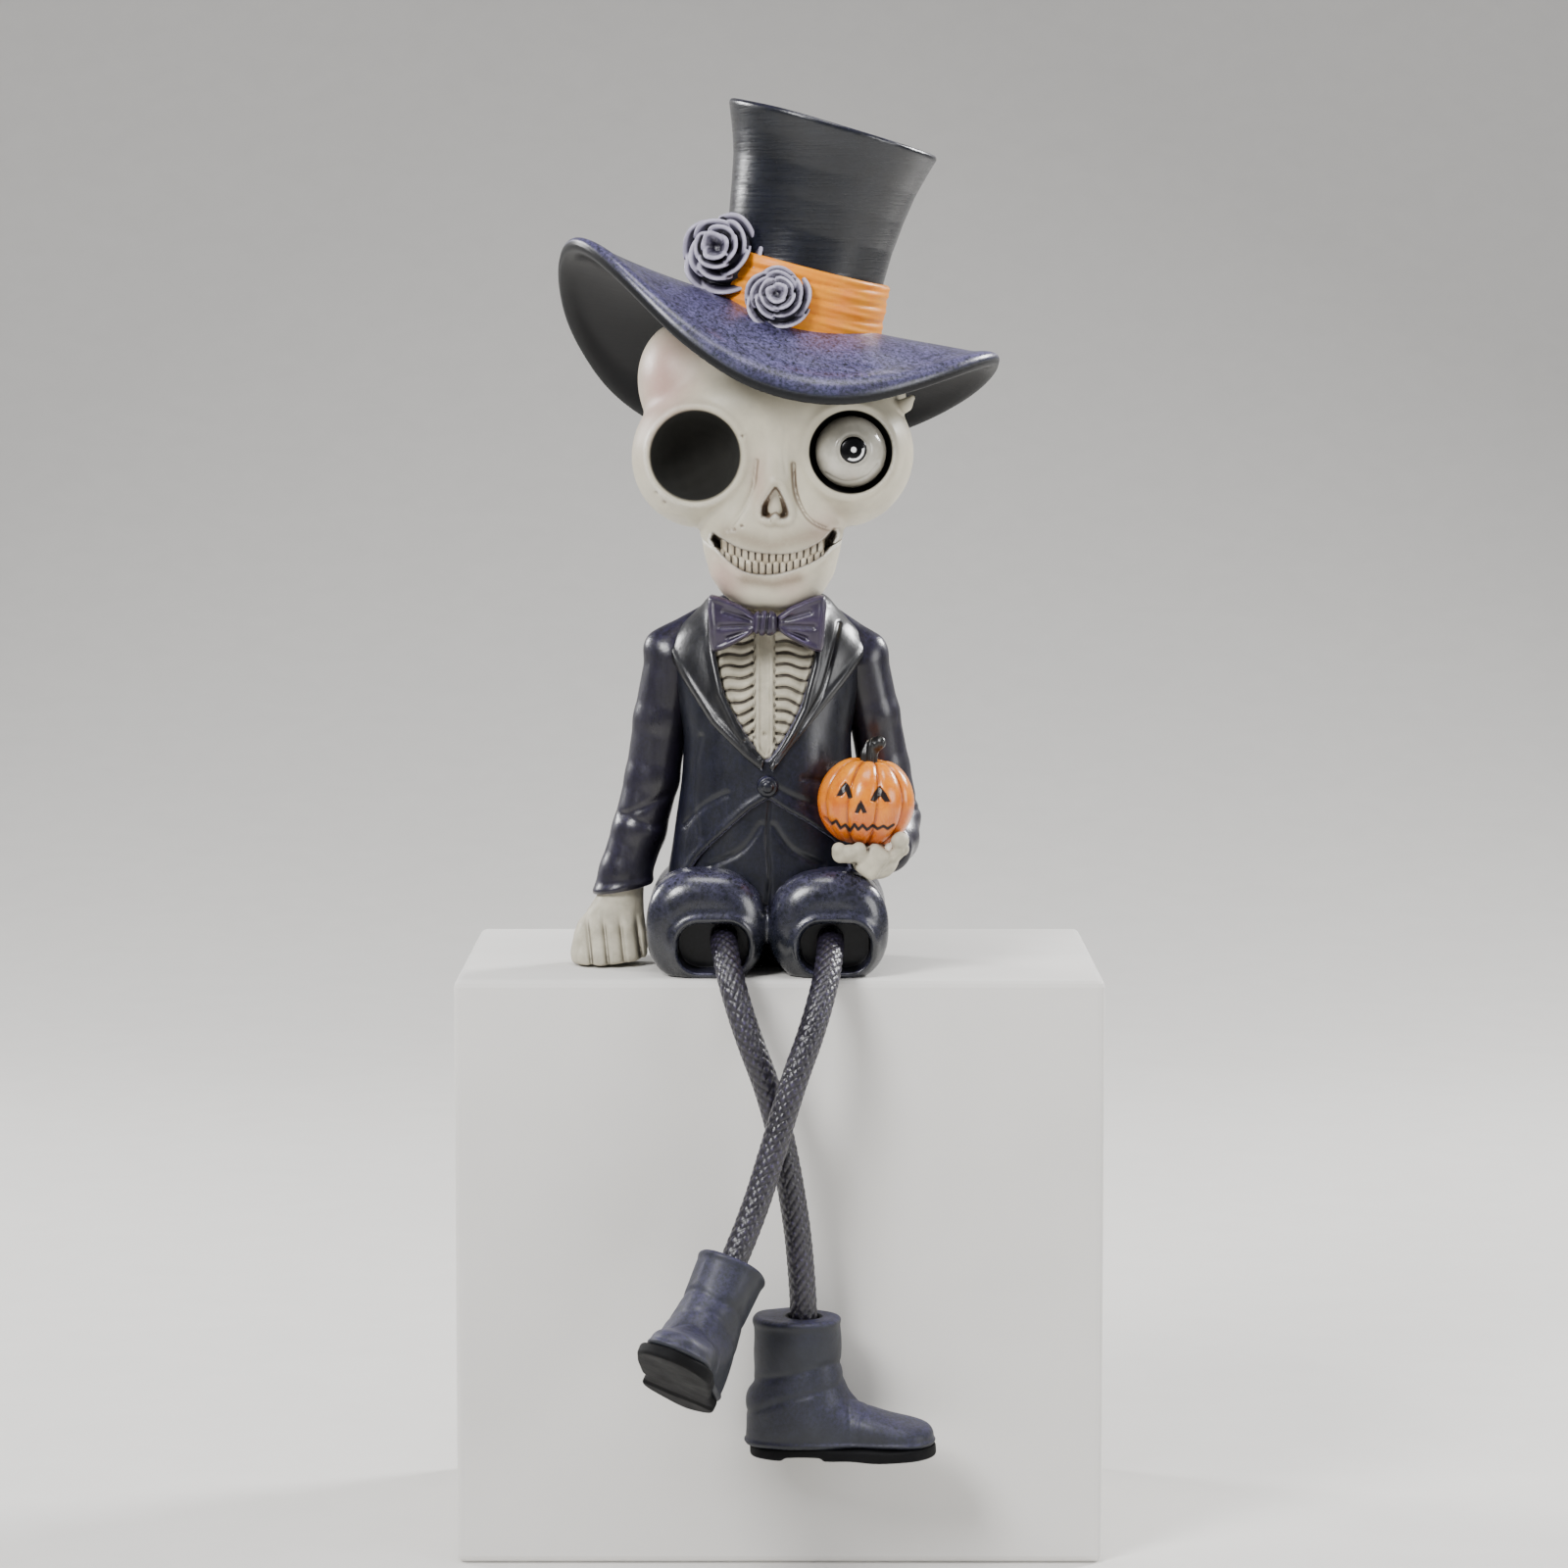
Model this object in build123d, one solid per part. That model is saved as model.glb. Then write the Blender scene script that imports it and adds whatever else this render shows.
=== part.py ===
"""Shelf-sitting skeleton gentleman: a cast resin figure with two cord legs and cast boots.

Millimetres.  +Z is up, +X is the figure's own left, and the figure faces -Y.  The origin is on
the flat face of the seat, at its middle; the legs hang below it over the edge of a shelf.
"""
from build123d import *
import math
import os

# ---- driving dimensions: seat and trousers ----
SEAT_FRONT = 19.0          # from the origin forward to the knees
SEAT_BACK = 13.0           # from the origin back to the hips
THIGH_WIDTH = 19.3         # one trouser leg, side to side
THIGH_HEIGHT = 17.2        # one trouser leg, seat to lap
THIGH_PITCH = 19.6         # between the middles of the two trouser legs
KNEE_ROUND = 3.0           # rounding round each trouser end
LEG_MOUTH_WIDTH = 11.6     # the dark opening in each trouser end
LEG_MOUTH_HEIGHT = 8.2
LEG_MOUTH_DEPTH = 7.0
LEG_MOUTH_FLOOR = 0.9      # resin left under the opening
LEG_MOUTH_X = {"right": -8.6, "left": 10.6}

# ---- driving dimensions: torso, arms and head ----
WAIST_Z = 12.0
COLLAR_Z = 57.0
WAIST_WIDTH = 35.0
CHEST_WIDTH = 30.0
SHOULDER_WIDTH = 33.0
TORSO_DEPTH = 25.0
LINING = 0.8               # how far the ribs and the waistcoat lie behind the jacket's face
LAPEL_THICKNESS = 0.8
BUTTON_RADIUS = 1.7
BUTTON_Z = 30.4
RIB_PITCH = 1.8
RIB_HEIGHT = 1.05
RIB_ROWS = 10
TOP_RIB_Z = 53.2
RIB_OPENING = [(-8.6, COLLAR_Z + 4), (8.2, COLLAR_Z + 4), (7.9, 52.6), (4.4, 43.5), (-0.2, 35.6),
               (-4.8, 43.5), (-8.5, 52.6)]
FRONT_OPENING = [(0.0, BUTTON_Z - 1.6), (7.6, 24.6), (12.0, 16.0), (12.0, 6.0), (-12.0, 6.0),
                 (-12.0, 16.0), (-7.6, 23.0)]
LAPEL_OUTLINE = [(0.2, 34.9), (4.8, 43.3), (8.3, 52.6), (8.8, COLLAR_Z + 3), (10.5, COLLAR_Z + 3),
                 (17.4, 54.6), (15.2, 50.6), (9.6, 42.4), (0.3, 32.9)]
SLEEVE_RADIUS = 4.5
CUFF_Z = 11.6
RIGHT_ARM = [
    ((-15.8, 0.4, 50.0), SLEEVE_RADIUS * 1.1),
    ((-18.6, 0.8, 38.0), SLEEVE_RADIUS * 0.98),
    ((-21.6, 0.8, 25.0), SLEEVE_RADIUS * 0.95),
    ((-24.0, 0.4, CUFF_Z), SLEEVE_RADIUS * 0.95),
]
LEFT_UPPER_ARM = [
    ((15.0, 0.4, 49.6), SLEEVE_RADIUS * 1.05),
    ((18.4, 1.6, 37.0), SLEEVE_RADIUS * 0.98),
    ((20.6, 1.6, 23.6), SLEEVE_RADIUS),
]
LEFT_FOREARM = [
    ((20.6, 1.6, 23.6), SLEEVE_RADIUS * 0.98),
    ((20.4, -4.0, 21.6), SLEEVE_RADIUS * 0.92),
    ((19.2, -10.0, 20.4), SLEEVE_RADIUS * 0.88),
]
HAND_WIDTH = 12.4
HAND_CLEARANCE = 0.2       # the planted hand stays this far above the seat plane
FINGER_END_RADIUS = 1.9    # finger ends and thumb of the hand under the pumpkin
NECK_RADIUS = 5.0
FACE_MIDDLE = 1.0          # the head is set a little to the figure's left
EYE_Z = 84.0
LOBE_RADIUS = 11.6         # the bone round each eye
LOBE_Y = -5.0
SOCKET_RADIUS = 7.2
SOCKET_DEPTH = 7.0
EYE_RADIUS = 5.7
EYE_GAP = 0.7              # the dark ring round the eyeball
EYE_BULGE = 1.2            # how far the eyeball stands out of its socket
PUPIL_RADIUS = 2.1
PUPIL_RELIEF = 0.35
TOOTH_PITCH = 1.1
TOOTH_GAP = 0.25
TEETH_EACH_SIDE = 7
MOUTH_WIDTH = 19.0
NOSE = [(-1.3, 73.8), (1.0, 74.8), (3.3, 73.8), (1.2, 79.2)]
SOCKET = (-11.4, EYE_Z)
EYE = (13.3, EYE_Z + 0.2)
BOW_WING = [(1.4, 57.0), (1.4, 59.6), (4.6, 61.2), (8.9, 61.6), (9.2, 57.5), (8.4, 53.6), (4.8, 55.2)]
BOW_FRONT = 13.4           # how far the bow tie stands in front of the neck's middle
BOW_DEPTH = 5.0

# ---- driving dimensions: hat ----
HAT_LEAN = 13.0            # degrees, towards the figure's left
CROWN_BASE = (6.3, 1.0, 104.3)
CROWN_HEIGHT = 31.6
CROWN_SHIFT = -2.5         # the crown stands to the figure's right of the brim's low point
CROWN_WAIST_RADIUS = 13.3
CROWN_TOP_RADIUS = 17.4
BAND_HEIGHT = 9.0
BAND_THICKNESS = 0.9
BRIM_HALF_LENGTH = 36.6
BRIM_HALF_DEPTH = 28.0
BRIM_SHIFT = -4.6          # the brim is longer on the figure's right
BRIM_THICKNESS = 2.0
BRIM_DROOP = 0.0205        # fall of the brim, per square millimetre fore and aft
BRIM_RISE = 0.0006         # rise of the brim towards its two tips
BRIM_PITCH = -0.17         # the back of the brim hangs lower than its front
BRIM_TWIST = 0.0031        # growth of that pitch towards the figure's right, per millimetre
BRIM_TWIST_GAIN = -0.00017 # and per square millimetre towards both tips
LARGE_ROSE_RADIUS = 6.9
LARGE_ROSE_PLACE = (-15.8, -8.4, 8.0)
LARGE_ROSE_HEADING = (-0.45, -0.85, 0.25)
SMALL_ROSE_RADIUS = 5.2
SMALL_ROSE_PLACE = (-5.4, -15.2, 3.0)
SMALL_ROSE_HEADING = (-0.15, -0.95, 0.25)

# ---- driving dimensions: pumpkin ----
PUMPKIN_PLACE = (16.0, -14.6, 28.0)
PUMPKIN_WIDTH = 15.9
PUMPKIN_HEIGHT = 15.0
STEM_HEIGHT = 3.4
STEM_RADIUS = 1.5

# ---- driving dimensions: cords and boots ----
CORD_DIAMETER = 4.4
RUNNING_GAP = 0.05         # between a cord and the hole that it turns in
KNEE_HOLE_DEPTH = 3.4      # of the hole behind each trouser opening
ANKLE_DEPTH = 5.0          # how far a cord goes into its boot
BOOT_LENGTH = 29.2
BOOT_HEIGHT = 22.2
BOOT_WIDTH = 11.4
SHAFT_LENGTH = 13.6        # boot top, heel to instep
SOLE_THICKNESS = 1.9
SOLE_WELT = 0.4            # how far the sole stands out round the boot

# The cords' routes, from the inner end in the trousers to the inner end in the boot.  The right
# leg hangs behind, and the left leg crosses in front of it.
CORD_ROUTES = {
    "right": [
        (-7.0, -10.5, 6.1),
        (-7.0, -19.0, 6.1),
        (-5.8, -26.6, 1.2),
        (-3.2, -29.2, -7.2),
        (0.8, -29.7, -17.5),
        (3.5, -29.6, -29.5),
        (5.6, -29.1, -44.0),
        (6.1, -28.9, -57.5),
    ],
    "left": [
        (10.2, -10.5, 5.6),
        (10.2, -19.0, 5.6),
        (9.6, -26.6, 1.7),
        (7.2, -32.6, -6.3),
        (4.3, -34.6, -13.8),
        (1.4, -35.4, -23.5),
        (-2.6, -37.4, -36.3),
        (-7.2, -42.0, -46.0),
    ],
}
TOE_DIRECTION = {"right": (0.97, -0.24, 0.0), "left": (-0.04, -0.92, 0.38)}
HALF = 0.5
FAR = 80.0                 # longer than any piece that it cuts


def keep_largest(shape):
    """The biggest solid of a cut, without the slivers that a cut may leave."""
    return max(shape.solids(), key=lambda solid: solid.volume)


def cut(shape, *others):
    """The shape with its neighbours' space taken away, so that they meet face to face."""
    for other in others:
        shape = shape - other
    return keep_largest(shape)


def egg(centre, radii):
    """A smooth solid with three half-lengths."""
    return Pos(*centre) * scale(Sphere(1.0), by=radii)


def front_prism(points, near=0.0):
    """A straight-sided prism through the front of the figure, from an outline in X and Z."""
    outline = make_face(Polyline(*points, close=True))
    return Pos(0, near, 0) * (Rot(90, 0, 0) * extrude(outline, FAR))


def taper(stations):
    """A limb lofted through round sections: each station is a centre and a radius."""
    sections = []
    for index, (centre, radius) in enumerate(stations):
        before = Vector(*stations[max(index - 1, 0)][0])
        after = Vector(*stations[min(index + 1, len(stations) - 1)][0])
        plane = Plane(origin=centre, z_dir=after - before)
        sections.append(plane * Circle(radius))
    return loft(sections)


# ---- trousers ----
def leg_axis(side):
    """The straight start of a cord, which is also the hinge line that its leg sways about."""
    start = Vector(*CORD_ROUTES[side][0])
    return Plane(origin=start, z_dir=(0, -1, 0))


def make_trousers():
    thigh = Ellipse(THIGH_WIDTH * HALF, THIGH_HEIGHT * HALF * 1.12)
    length = SEAT_FRONT + SEAT_BACK * HALF
    shape = None
    for side in (-1, 1):
        tube = extrude(Rot(90, 0, 0) * thigh, length)
        front = tube.edges().sort_by(Axis.Y)[0]
        tube = fillet(front, KNEE_ROUND)
        middle_z = THIGH_HEIGHT * (1 - HALF * 1.12)
        leg = Pos(side * THIGH_PITCH * HALF, SEAT_BACK * HALF, middle_z) * tube
        shape = leg if shape is None else shape + leg
    hips = RectangleRounded(THIGH_PITCH + THIGH_WIDTH * 0.9, SEAT_BACK + SEAT_FRONT * HALF, 6.0)
    block = extrude(Pos(0, (SEAT_BACK - SEAT_FRONT * HALF) * HALF, 0) * hips, THIGH_HEIGHT * 0.92)
    shape = shape + block
    shape = shape - Pos(0, 0, -FAR * HALF) * Box(2 * FAR, 2 * FAR, FAR)
    for side, mouth_x in LEG_MOUTH_X.items():
        mouth = RectangleRounded(LEG_MOUTH_WIDTH, LEG_MOUTH_HEIGHT, LEG_MOUTH_HEIGHT * 0.45)
        pocket = extrude(Rot(90, 0, 0) * mouth, LEG_MOUTH_DEPTH + FAR)
        floor_z = LEG_MOUTH_FLOOR + LEG_MOUTH_HEIGHT * HALF
        shape = shape - Pos(mouth_x, LEG_MOUTH_DEPTH - SEAT_FRONT, floor_z) * pocket
        hole = extrude(leg_axis(side) * Circle(CORD_DIAMETER * HALF + RUNNING_GAP), KNEE_HOLE_DEPTH)
        shape = shape - hole
    return keep_largest(shape)


# ---- torso ----
def torso(shrink=0.0):
    """The coat's body, or the same form drawn in by an even amount all round."""
    stations = [
        (WAIST_Z, WAIST_WIDTH, TORSO_DEPTH, -1.5),
        (24.0, WAIST_WIDTH * 0.93, TORSO_DEPTH * 0.98, -1.2),
        (36.0, CHEST_WIDTH, TORSO_DEPTH * 0.94, -0.8),
        (46.0, SHOULDER_WIDTH * 0.93, TORSO_DEPTH * 0.88, -0.2),
        (52.5, SHOULDER_WIDTH, TORSO_DEPTH * 0.74, 0.4),
        (COLLAR_Z + 1.0, SHOULDER_WIDTH * 0.52, TORSO_DEPTH * 0.56, 1.0),
    ]
    sections = []
    for height, width, depth, middle in stations:
        section = Ellipse(width * HALF - shrink, depth * HALF - shrink)
        sections.append(Pos(0, middle, height) * section)
    return loft(sections)



def make_jacket(trousers):
    coat = torso()
    for opening in (RIB_OPENING, FRONT_OPENING):
        coat = coat - front_prism(opening, near=-3.0)
    return cut(coat, trousers)


def make_ribcage(jacket, trousers):
    """A bone plate behind the coat's opening, with raised ribs and a double breastbone."""
    opening = front_prism(RIB_OPENING, near=-3.0)
    backing = torso(2 * LINING) & opening
    face = torso(LINING) & opening
    shape = backing
    for index in range(RIB_ROWS):
        height = TOP_RIB_Z - index * RIB_PITCH
        for side in (-1, 1):
            bar = Pos(side * 5.2, -12.0, height) * (Rot(0, side * 7, 0) * Box(8.6, 20.0, RIB_HEIGHT))
            shape = shape + (face & bar)
    for side in (-1, 1):
        shape = shape + (face & Pos(side * 0.75, -12.0, 46.0) * Box(1.1, 20.0, 30.0))
    return cut(shape, jacket, trousers)


def make_waistcoat(jacket, trousers):
    return cut(torso(LINING) & front_prism(FRONT_OPENING, near=-3.0), jacket, trousers)


def make_lapel(side, jacket, ribcage):
    outline = [(side * x, z) for x, z in LAPEL_OUTLINE]
    shell = torso(-LAPEL_THICKNESS) & front_prism(outline, near=-2.0)
    return cut(shell, jacket, ribcage)


def make_button(jacket, waistcoat):
    front = torso().bounding_box().min.Y
    dome = egg((0.0, front + 0.6, BUTTON_Z), (BUTTON_RADIUS, BUTTON_RADIUS * 0.9, BUTTON_RADIUS))
    return cut(dome, jacket, waistcoat)


# ---- arms and hands ----
def make_right_sleeve(neighbours):
    arm = taper(RIGHT_ARM) + Pos(*RIGHT_ARM[0][0]) * Sphere(SLEEVE_RADIUS * 1.1)
    return cut(arm, *neighbours)


def make_left_sleeve(neighbours):
    arm = taper(LEFT_UPPER_ARM) + Pos(*LEFT_UPPER_ARM[0][0]) * Sphere(SLEEVE_RADIUS * 1.05)
    arm = arm + Pos(*LEFT_FOREARM[0][0]) * Sphere(SLEEVE_RADIUS)
    arm = arm + taper(LEFT_FOREARM)
    return cut(arm, *neighbours)


def make_right_hand(neighbours):
    """The planted hand: a wrist that spreads to four fingers, with grooves between them."""
    wrist_x = RIGHT_ARM[-1][0][0]
    palm_x = wrist_x - 1.9
    sections = [
        Pos(wrist_x, 0.4, CUFF_Z) * Ellipse(SLEEVE_RADIUS * 0.84, SLEEVE_RADIUS * 0.8),
        Pos(palm_x, -0.2, CUFF_Z * 0.45) * Ellipse(HAND_WIDTH * 0.49, SLEEVE_RADIUS * 1.05),
        Pos(palm_x, -0.8, HAND_CLEARANCE) * Ellipse(HAND_WIDTH * HALF, SLEEVE_RADIUS * 1.2),
    ]
    hand = loft(sections)
    finger_pitch = HAND_WIDTH / 4
    for index in (-1, 0, 1):
        groove = Box(0.7, 3.0, CUFF_Z * 0.6)
        hand = hand - Pos(palm_x + index * finger_pitch, -6.6, CUFF_Z * 0.3) * groove
    return cut(hand, *neighbours)


def make_left_hand(neighbours):
    """The hand under the pumpkin: a cupped palm, four finger ends and a thumb."""
    x, y, z = PUMPKIN_PLACE
    radius = PUMPKIN_WIDTH * HALF
    below = z - PUMPKIN_HEIGHT * HALF
    forward = Rot(90, 0, 0)    # each ball's poles point forward, clear of the edges between them
    hand = Pos(x + 0.8, y + 1.0, below + 1.2) * forward * Sphere(radius * 0.66)
    for index in range(4):
        place = Pos(x - 4.6 + index * 2.9, y - 4.4, below + 1.0 - index * 0.4)
        hand = hand + place * forward * Sphere(FINGER_END_RADIUS)
    hand = hand + Pos(x + 6.0, y - 1.0, z - 5.6) * forward * Sphere(FINGER_END_RADIUS)
    cup = Pos(x, y, z) * Sphere(radius * 0.98)
    return cut(hand, cup, *neighbours)


# ---- pumpkin ----
def make_pumpkin(neighbours):
    """A squashed round fruit with a hollow at its stem and at its foot."""
    radius = PUMPKIN_WIDTH * HALF
    rise = PUMPKIN_HEIGHT * HALF
    hollow = rise * 0.86
    shoulder = (radius * 0.74, rise * 0.8)
    foot = (radius * 0.74, -rise * 0.8)
    outline = [
        Line((0, hollow), (radius * 0.14, hollow)),
        ThreePointArc((radius * 0.14, hollow), (radius * 0.44, rise), shoulder),
        ThreePointArc(shoulder, (radius, 0), foot),
        ThreePointArc(foot, (radius * 0.44, -rise), (radius * 0.14, -hollow)),
        Line((radius * 0.14, -hollow), (0, -hollow)),
        Line((0, -hollow), (0, hollow)),
    ]
    fruit = revolve(Plane.XZ * make_face(outline), Axis.Z)
    return cut(Pos(*PUMPKIN_PLACE) * (Rot(0, 6, 0) * fruit), *neighbours)


def make_pumpkin_stem(pumpkin, neighbours):
    stem = Cone(STEM_RADIUS, STEM_RADIUS * 0.7, STEM_HEIGHT + 2.0)
    x, y, z = PUMPKIN_PLACE
    top = z + PUMPKIN_HEIGHT * 0.42
    stem = Pos(x + 0.8, y, top + STEM_HEIGHT * HALF) * (Rot(0, 10, 0) * stem)
    return cut(stem, pumpkin, *neighbours)


# ---- hat ----
HAT = Pos(*CROWN_BASE) * Rot(0, HAT_LEAN, 0)


def saddle(lift):
    """The brim's curved surface, in the hat's own frame, as a nine-point patch."""
    reach_x = BRIM_HALF_LENGTH * 1.3
    reach_y = BRIM_HALF_DEPTH * 1.3
    rise = BRIM_RISE * reach_x ** 2
    fall = -BRIM_DROOP * reach_y ** 2
    gain = BRIM_TWIST_GAIN * reach_x ** 2
    rows = []
    for x, x_term, growth in ((-reach_x, rise, gain), (0.0, -rise, -gain), (reach_x, rise, gain)):
        pitch = BRIM_PITCH + BRIM_TWIST * x + growth
        row = []
        for y, y_term in ((-reach_y, fall), (0.0, -fall), (reach_y, fall)):
            row.append(Vector(x, y, x_term + y_term + pitch * y + lift))
        rows.append(row)
    return Face.make_bezier_surface(rows)


def make_brim():
    outline = Pos(BRIM_SHIFT, 0, -FAR * HALF) * Ellipse(BRIM_HALF_LENGTH, BRIM_HALF_DEPTH)
    slab = extrude(saddle(-BRIM_THICKNESS), BRIM_THICKNESS, dir=(0, 0, 1))
    return HAT * keep_largest(slab & extrude(outline, FAR))


def space_over_brim():
    return HAT * extrude(saddle(-BRIM_THICKNESS), FAR, dir=(0, 0, 1))


def space_under_brim():
    return HAT * extrude(saddle(0.0), FAR, dir=(0, 0, -1))


def crown_profile():
    """Half of the crown's outline, waisted above the band and flared to its flat top."""
    base = -9.0
    side = Spline(
        (CROWN_WAIST_RADIUS * 1.05, base),
        (CROWN_WAIST_RADIUS, BAND_HEIGHT),
        (CROWN_WAIST_RADIUS + (CROWN_TOP_RADIUS - CROWN_WAIST_RADIUS) * 0.38, CROWN_HEIGHT * 0.68),
        (CROWN_TOP_RADIUS, CROWN_HEIGHT),
    )
    rest = Polyline(side @ 1, (0, CROWN_HEIGHT), (0, base), side @ 0)
    return make_face([side, rest])


def make_crown(under):
    crown = revolve(Plane.XZ * crown_profile(), Axis.Z)
    return cut(HAT * (Pos(CROWN_SHIFT, 0, 0) * crown), under)


def make_band(crown, under):
    """Folded ribbon round the crown: three soft pleats, one above another."""
    inner = CROWN_WAIST_RADIUS - 1.0
    outer = CROWN_WAIST_RADIUS + BAND_THICKNESS
    fold = 0.35
    points = [(inner, -9.0), (outer + 2 * fold, -9.0), (outer + 2 * fold, BAND_HEIGHT * 0.3)]
    points += [(outer + fold, BAND_HEIGHT * 0.36), (outer + fold, BAND_HEIGHT * 0.64)]
    points += [(outer, BAND_HEIGHT * 0.7), (outer, BAND_HEIGHT), (inner, BAND_HEIGHT)]
    ring = revolve(Plane.XZ * make_face(Polyline(*points, close=True)), Axis.Z)
    return cut(HAT * (Pos(CROWN_SHIFT, 0, 0) * ring), crown, under)


def make_rose(radius, place, heading, neighbours):
    """A rolled rose: three cupped rows of petals round a hollow heart, facing outward."""
    rim = [(0.0, -0.8), (0.62, -0.7), (1.0, -0.1), (0.95, 0.25), (0.84, 0.3), (0.78, 0.12)]
    rim += [(0.68, 0.55), (0.56, 0.58), (0.52, 0.34), (0.42, 0.72), (0.3, 0.7), (0.22, 0.4)]
    rim += [(0.0, 0.4)]
    points = [(radius * r, radius * h) for r, h in rim]
    rose = revolve(Plane.XZ * make_face(Polyline(*points, close=True)), Axis.Z)
    plane = Plane(origin=place, z_dir=heading)
    return cut(HAT * (plane * rose), *neighbours)


# ---- head ----
def make_head_form():
    """Cranium and two great eye lobes, before the hat and the holes cut them."""
    form = Pos(FACE_MIDDLE, 2.0, EYE_Z + 5.0) * Sphere(19.2)
    for side in (-1, 1):
        form = form + Pos(FACE_MIDDLE + side * 11.8, LOBE_Y, EYE_Z - 0.6) * Sphere(LOBE_RADIUS)
    return form


def muzzle():
    """The narrow lower face, which the jaw and the teeth are cut from."""
    stations = [
        (59.2, 10.4, 12.0, -5.6),
        (62.0, 15.6, 15.6, -5.2),
        (66.0, 20.8, 18.0, -5.4),
        (71.0, 22.8, 18.8, -5.6),
        (76.0, 22.6, 18.0, -5.4),
    ]
    sections = []
    for height, width, depth, middle in stations:
        section = RectangleRounded(width, depth, width * 0.36)
        sections.append(Pos(FACE_MIDDLE, middle, height) * section)
    return loft(sections)


def mouth_band(low=0.0, high=1.0):
    """A curved slice of the grin: 0 is its lower edge and 1 is its upper edge."""
    lower = ((-7.6, 68.6), (FACE_MIDDLE, 64.5), (10.4, 68.2))
    upper = ((-8.9, 71.5), (FACE_MIDDLE, 68.2), (11.4, 71.0))
    edges = []
    for share in (low, high):
        edges.append([(a[0] + (b[0] - a[0]) * share, a[1] + (b[1] - a[1]) * share)
                      for a, b in zip(lower, upper)])
    below = ThreePointArc(*edges[0])
    above = ThreePointArc(*edges[1])
    sides = [Line(below @ 0, above @ 0), Line(below @ 1, above @ 1)]
    outline = make_face([below, above] + sides)
    return Rot(90, 0, 0) * extrude(outline, FAR)


def below_the_bite():
    """Everything under the line where the two rows of teeth meet."""
    line = ThreePointArc((-8.3, 70.0), (FACE_MIDDLE, 66.3), (10.9, 69.6))
    rest = Polyline(line @ 1, (FAR, 69.6), (FAR, 40.0), (-FAR, 40.0), (-FAR, 70.0), line @ 0)
    return Pos(0, FAR, 0) * (Rot(90, 0, 0) * extrude(make_face([line, rest]), 2 * FAR))


def face_hole(place, radius, depth_y):
    hole = extrude(Rot(90, 0, 0) * Circle(radius), FAR)
    return Pos(place[0], depth_y, place[1]) * hole


def make_head():
    """Skull, jaw, two rows of teeth, eyeball and pupil."""
    face = muzzle()
    jaw = face & below_the_bite()
    form = cut(make_head_form() + (face - below_the_bite()), space_over_brim())
    face_y = LOBE_Y - LOBE_RADIUS
    socket = face_hole(SOCKET, SOCKET_RADIUS, face_y + SOCKET_DEPTH)
    eye_y = face_y - EYE_BULGE + EYE_RADIUS
    eyeball = Pos(EYE[0], eye_y, EYE[1]) * Sphere(EYE_RADIUS)
    eye_hole = face_hole(EYE, EYE_RADIUS + EYE_GAP, eye_y - EYE_RADIUS * 0.3)
    nose_hole = front_prism(NOSE, near=-12.6)
    skull = cut(form, socket, eye_hole, eyeball, nose_hole, mouth_band())
    jaw = cut(jaw, form, mouth_band())
    rows = {}
    for name, low, high in (("lower_teeth", 0.0, 0.48), ("upper_teeth", 0.52, 1.0)):
        row = Pos(0, 0.7, 0) * face & mouth_band(low, high)
        row = row & Pos(FACE_MIDDLE, -12.0, 68.0) * Box(MOUTH_WIDTH, 12.0, 14.0)
        for index in range(-TEETH_EACH_SIDE, TEETH_EACH_SIDE + 1):
            gap_x = FACE_MIDDLE + index * TOOTH_PITCH
            row = row - Pos(gap_x, -16.0, 68.0) * Box(TOOTH_GAP, 3.2, 12.0)
        rows[name] = cut(row, skull, jaw)
    cap = Pos(EYE[0], eye_y, EYE[1]) * Sphere(EYE_RADIUS + PUPIL_RELIEF)
    pupil = cap & face_hole((EYE[0] + 0.4, EYE[1] + 0.4), PUPIL_RADIUS, eye_y)
    pupil = cut(pupil, eyeball)
    return {"skull": skull, "jaw": jaw, **rows, "eyeball": keep_largest(eyeball), "pupil": pupil}


def make_neck(neighbours):
    neck = Pos(FACE_MIDDLE * HALF, 1.0, 60.0) * Cylinder(NECK_RADIUS, 16.0)
    return cut(neck, *neighbours)


def make_bow_wing(side, neighbours):
    outline = make_face(Polyline(*[(side * x, z) for x, z in BOW_WING], close=True))
    wing = Pos(0, -BOW_FRONT + BOW_DEPTH, 0) * (Rot(90, 0, 0) * extrude(outline, BOW_DEPTH))
    return cut(wing, *neighbours)


def make_bow_knot(neighbours):
    knot = egg((0.0, -BOW_FRONT + 1.0, 58.0), (1.9, 2.0, 2.2))
    return cut(knot, *neighbours)


# ---- cords ----
def route_radii(points):
    """The arc at each corner: 0.45 of the shorter run, over the tangent of half the turn."""
    radii = []
    for before, corner, after in zip(points, points[1:], points[2:]):
        run_in = Vector(*corner) - Vector(*before)
        run_out = Vector(*after) - Vector(*corner)
        half_turn = math.radians(run_in.get_angle(run_out) * HALF)
        radii.append(0.45 * min(run_in.length, run_out.length) / math.tan(half_turn))
    return radii


def make_cord(points, radii, name):
    """A tube along straight runs and tangent arcs."""
    path = FilletPolyline(*points, radius=radii)
    plane = Plane(origin=points[0], z_dir=path % 0)
    tube = sweep(plane * Circle(CORD_DIAMETER * HALF), path=path)
    expected = math.pi * (CORD_DIAMETER * HALF) ** 2 * path.length
    print(name, "length", round(path.length, 1), "volume ratio", round(tube.volume / expected, 4))
    print(name, "radii", [round(radius, 1) for radius in radii])
    return keep_largest(tube)


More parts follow.
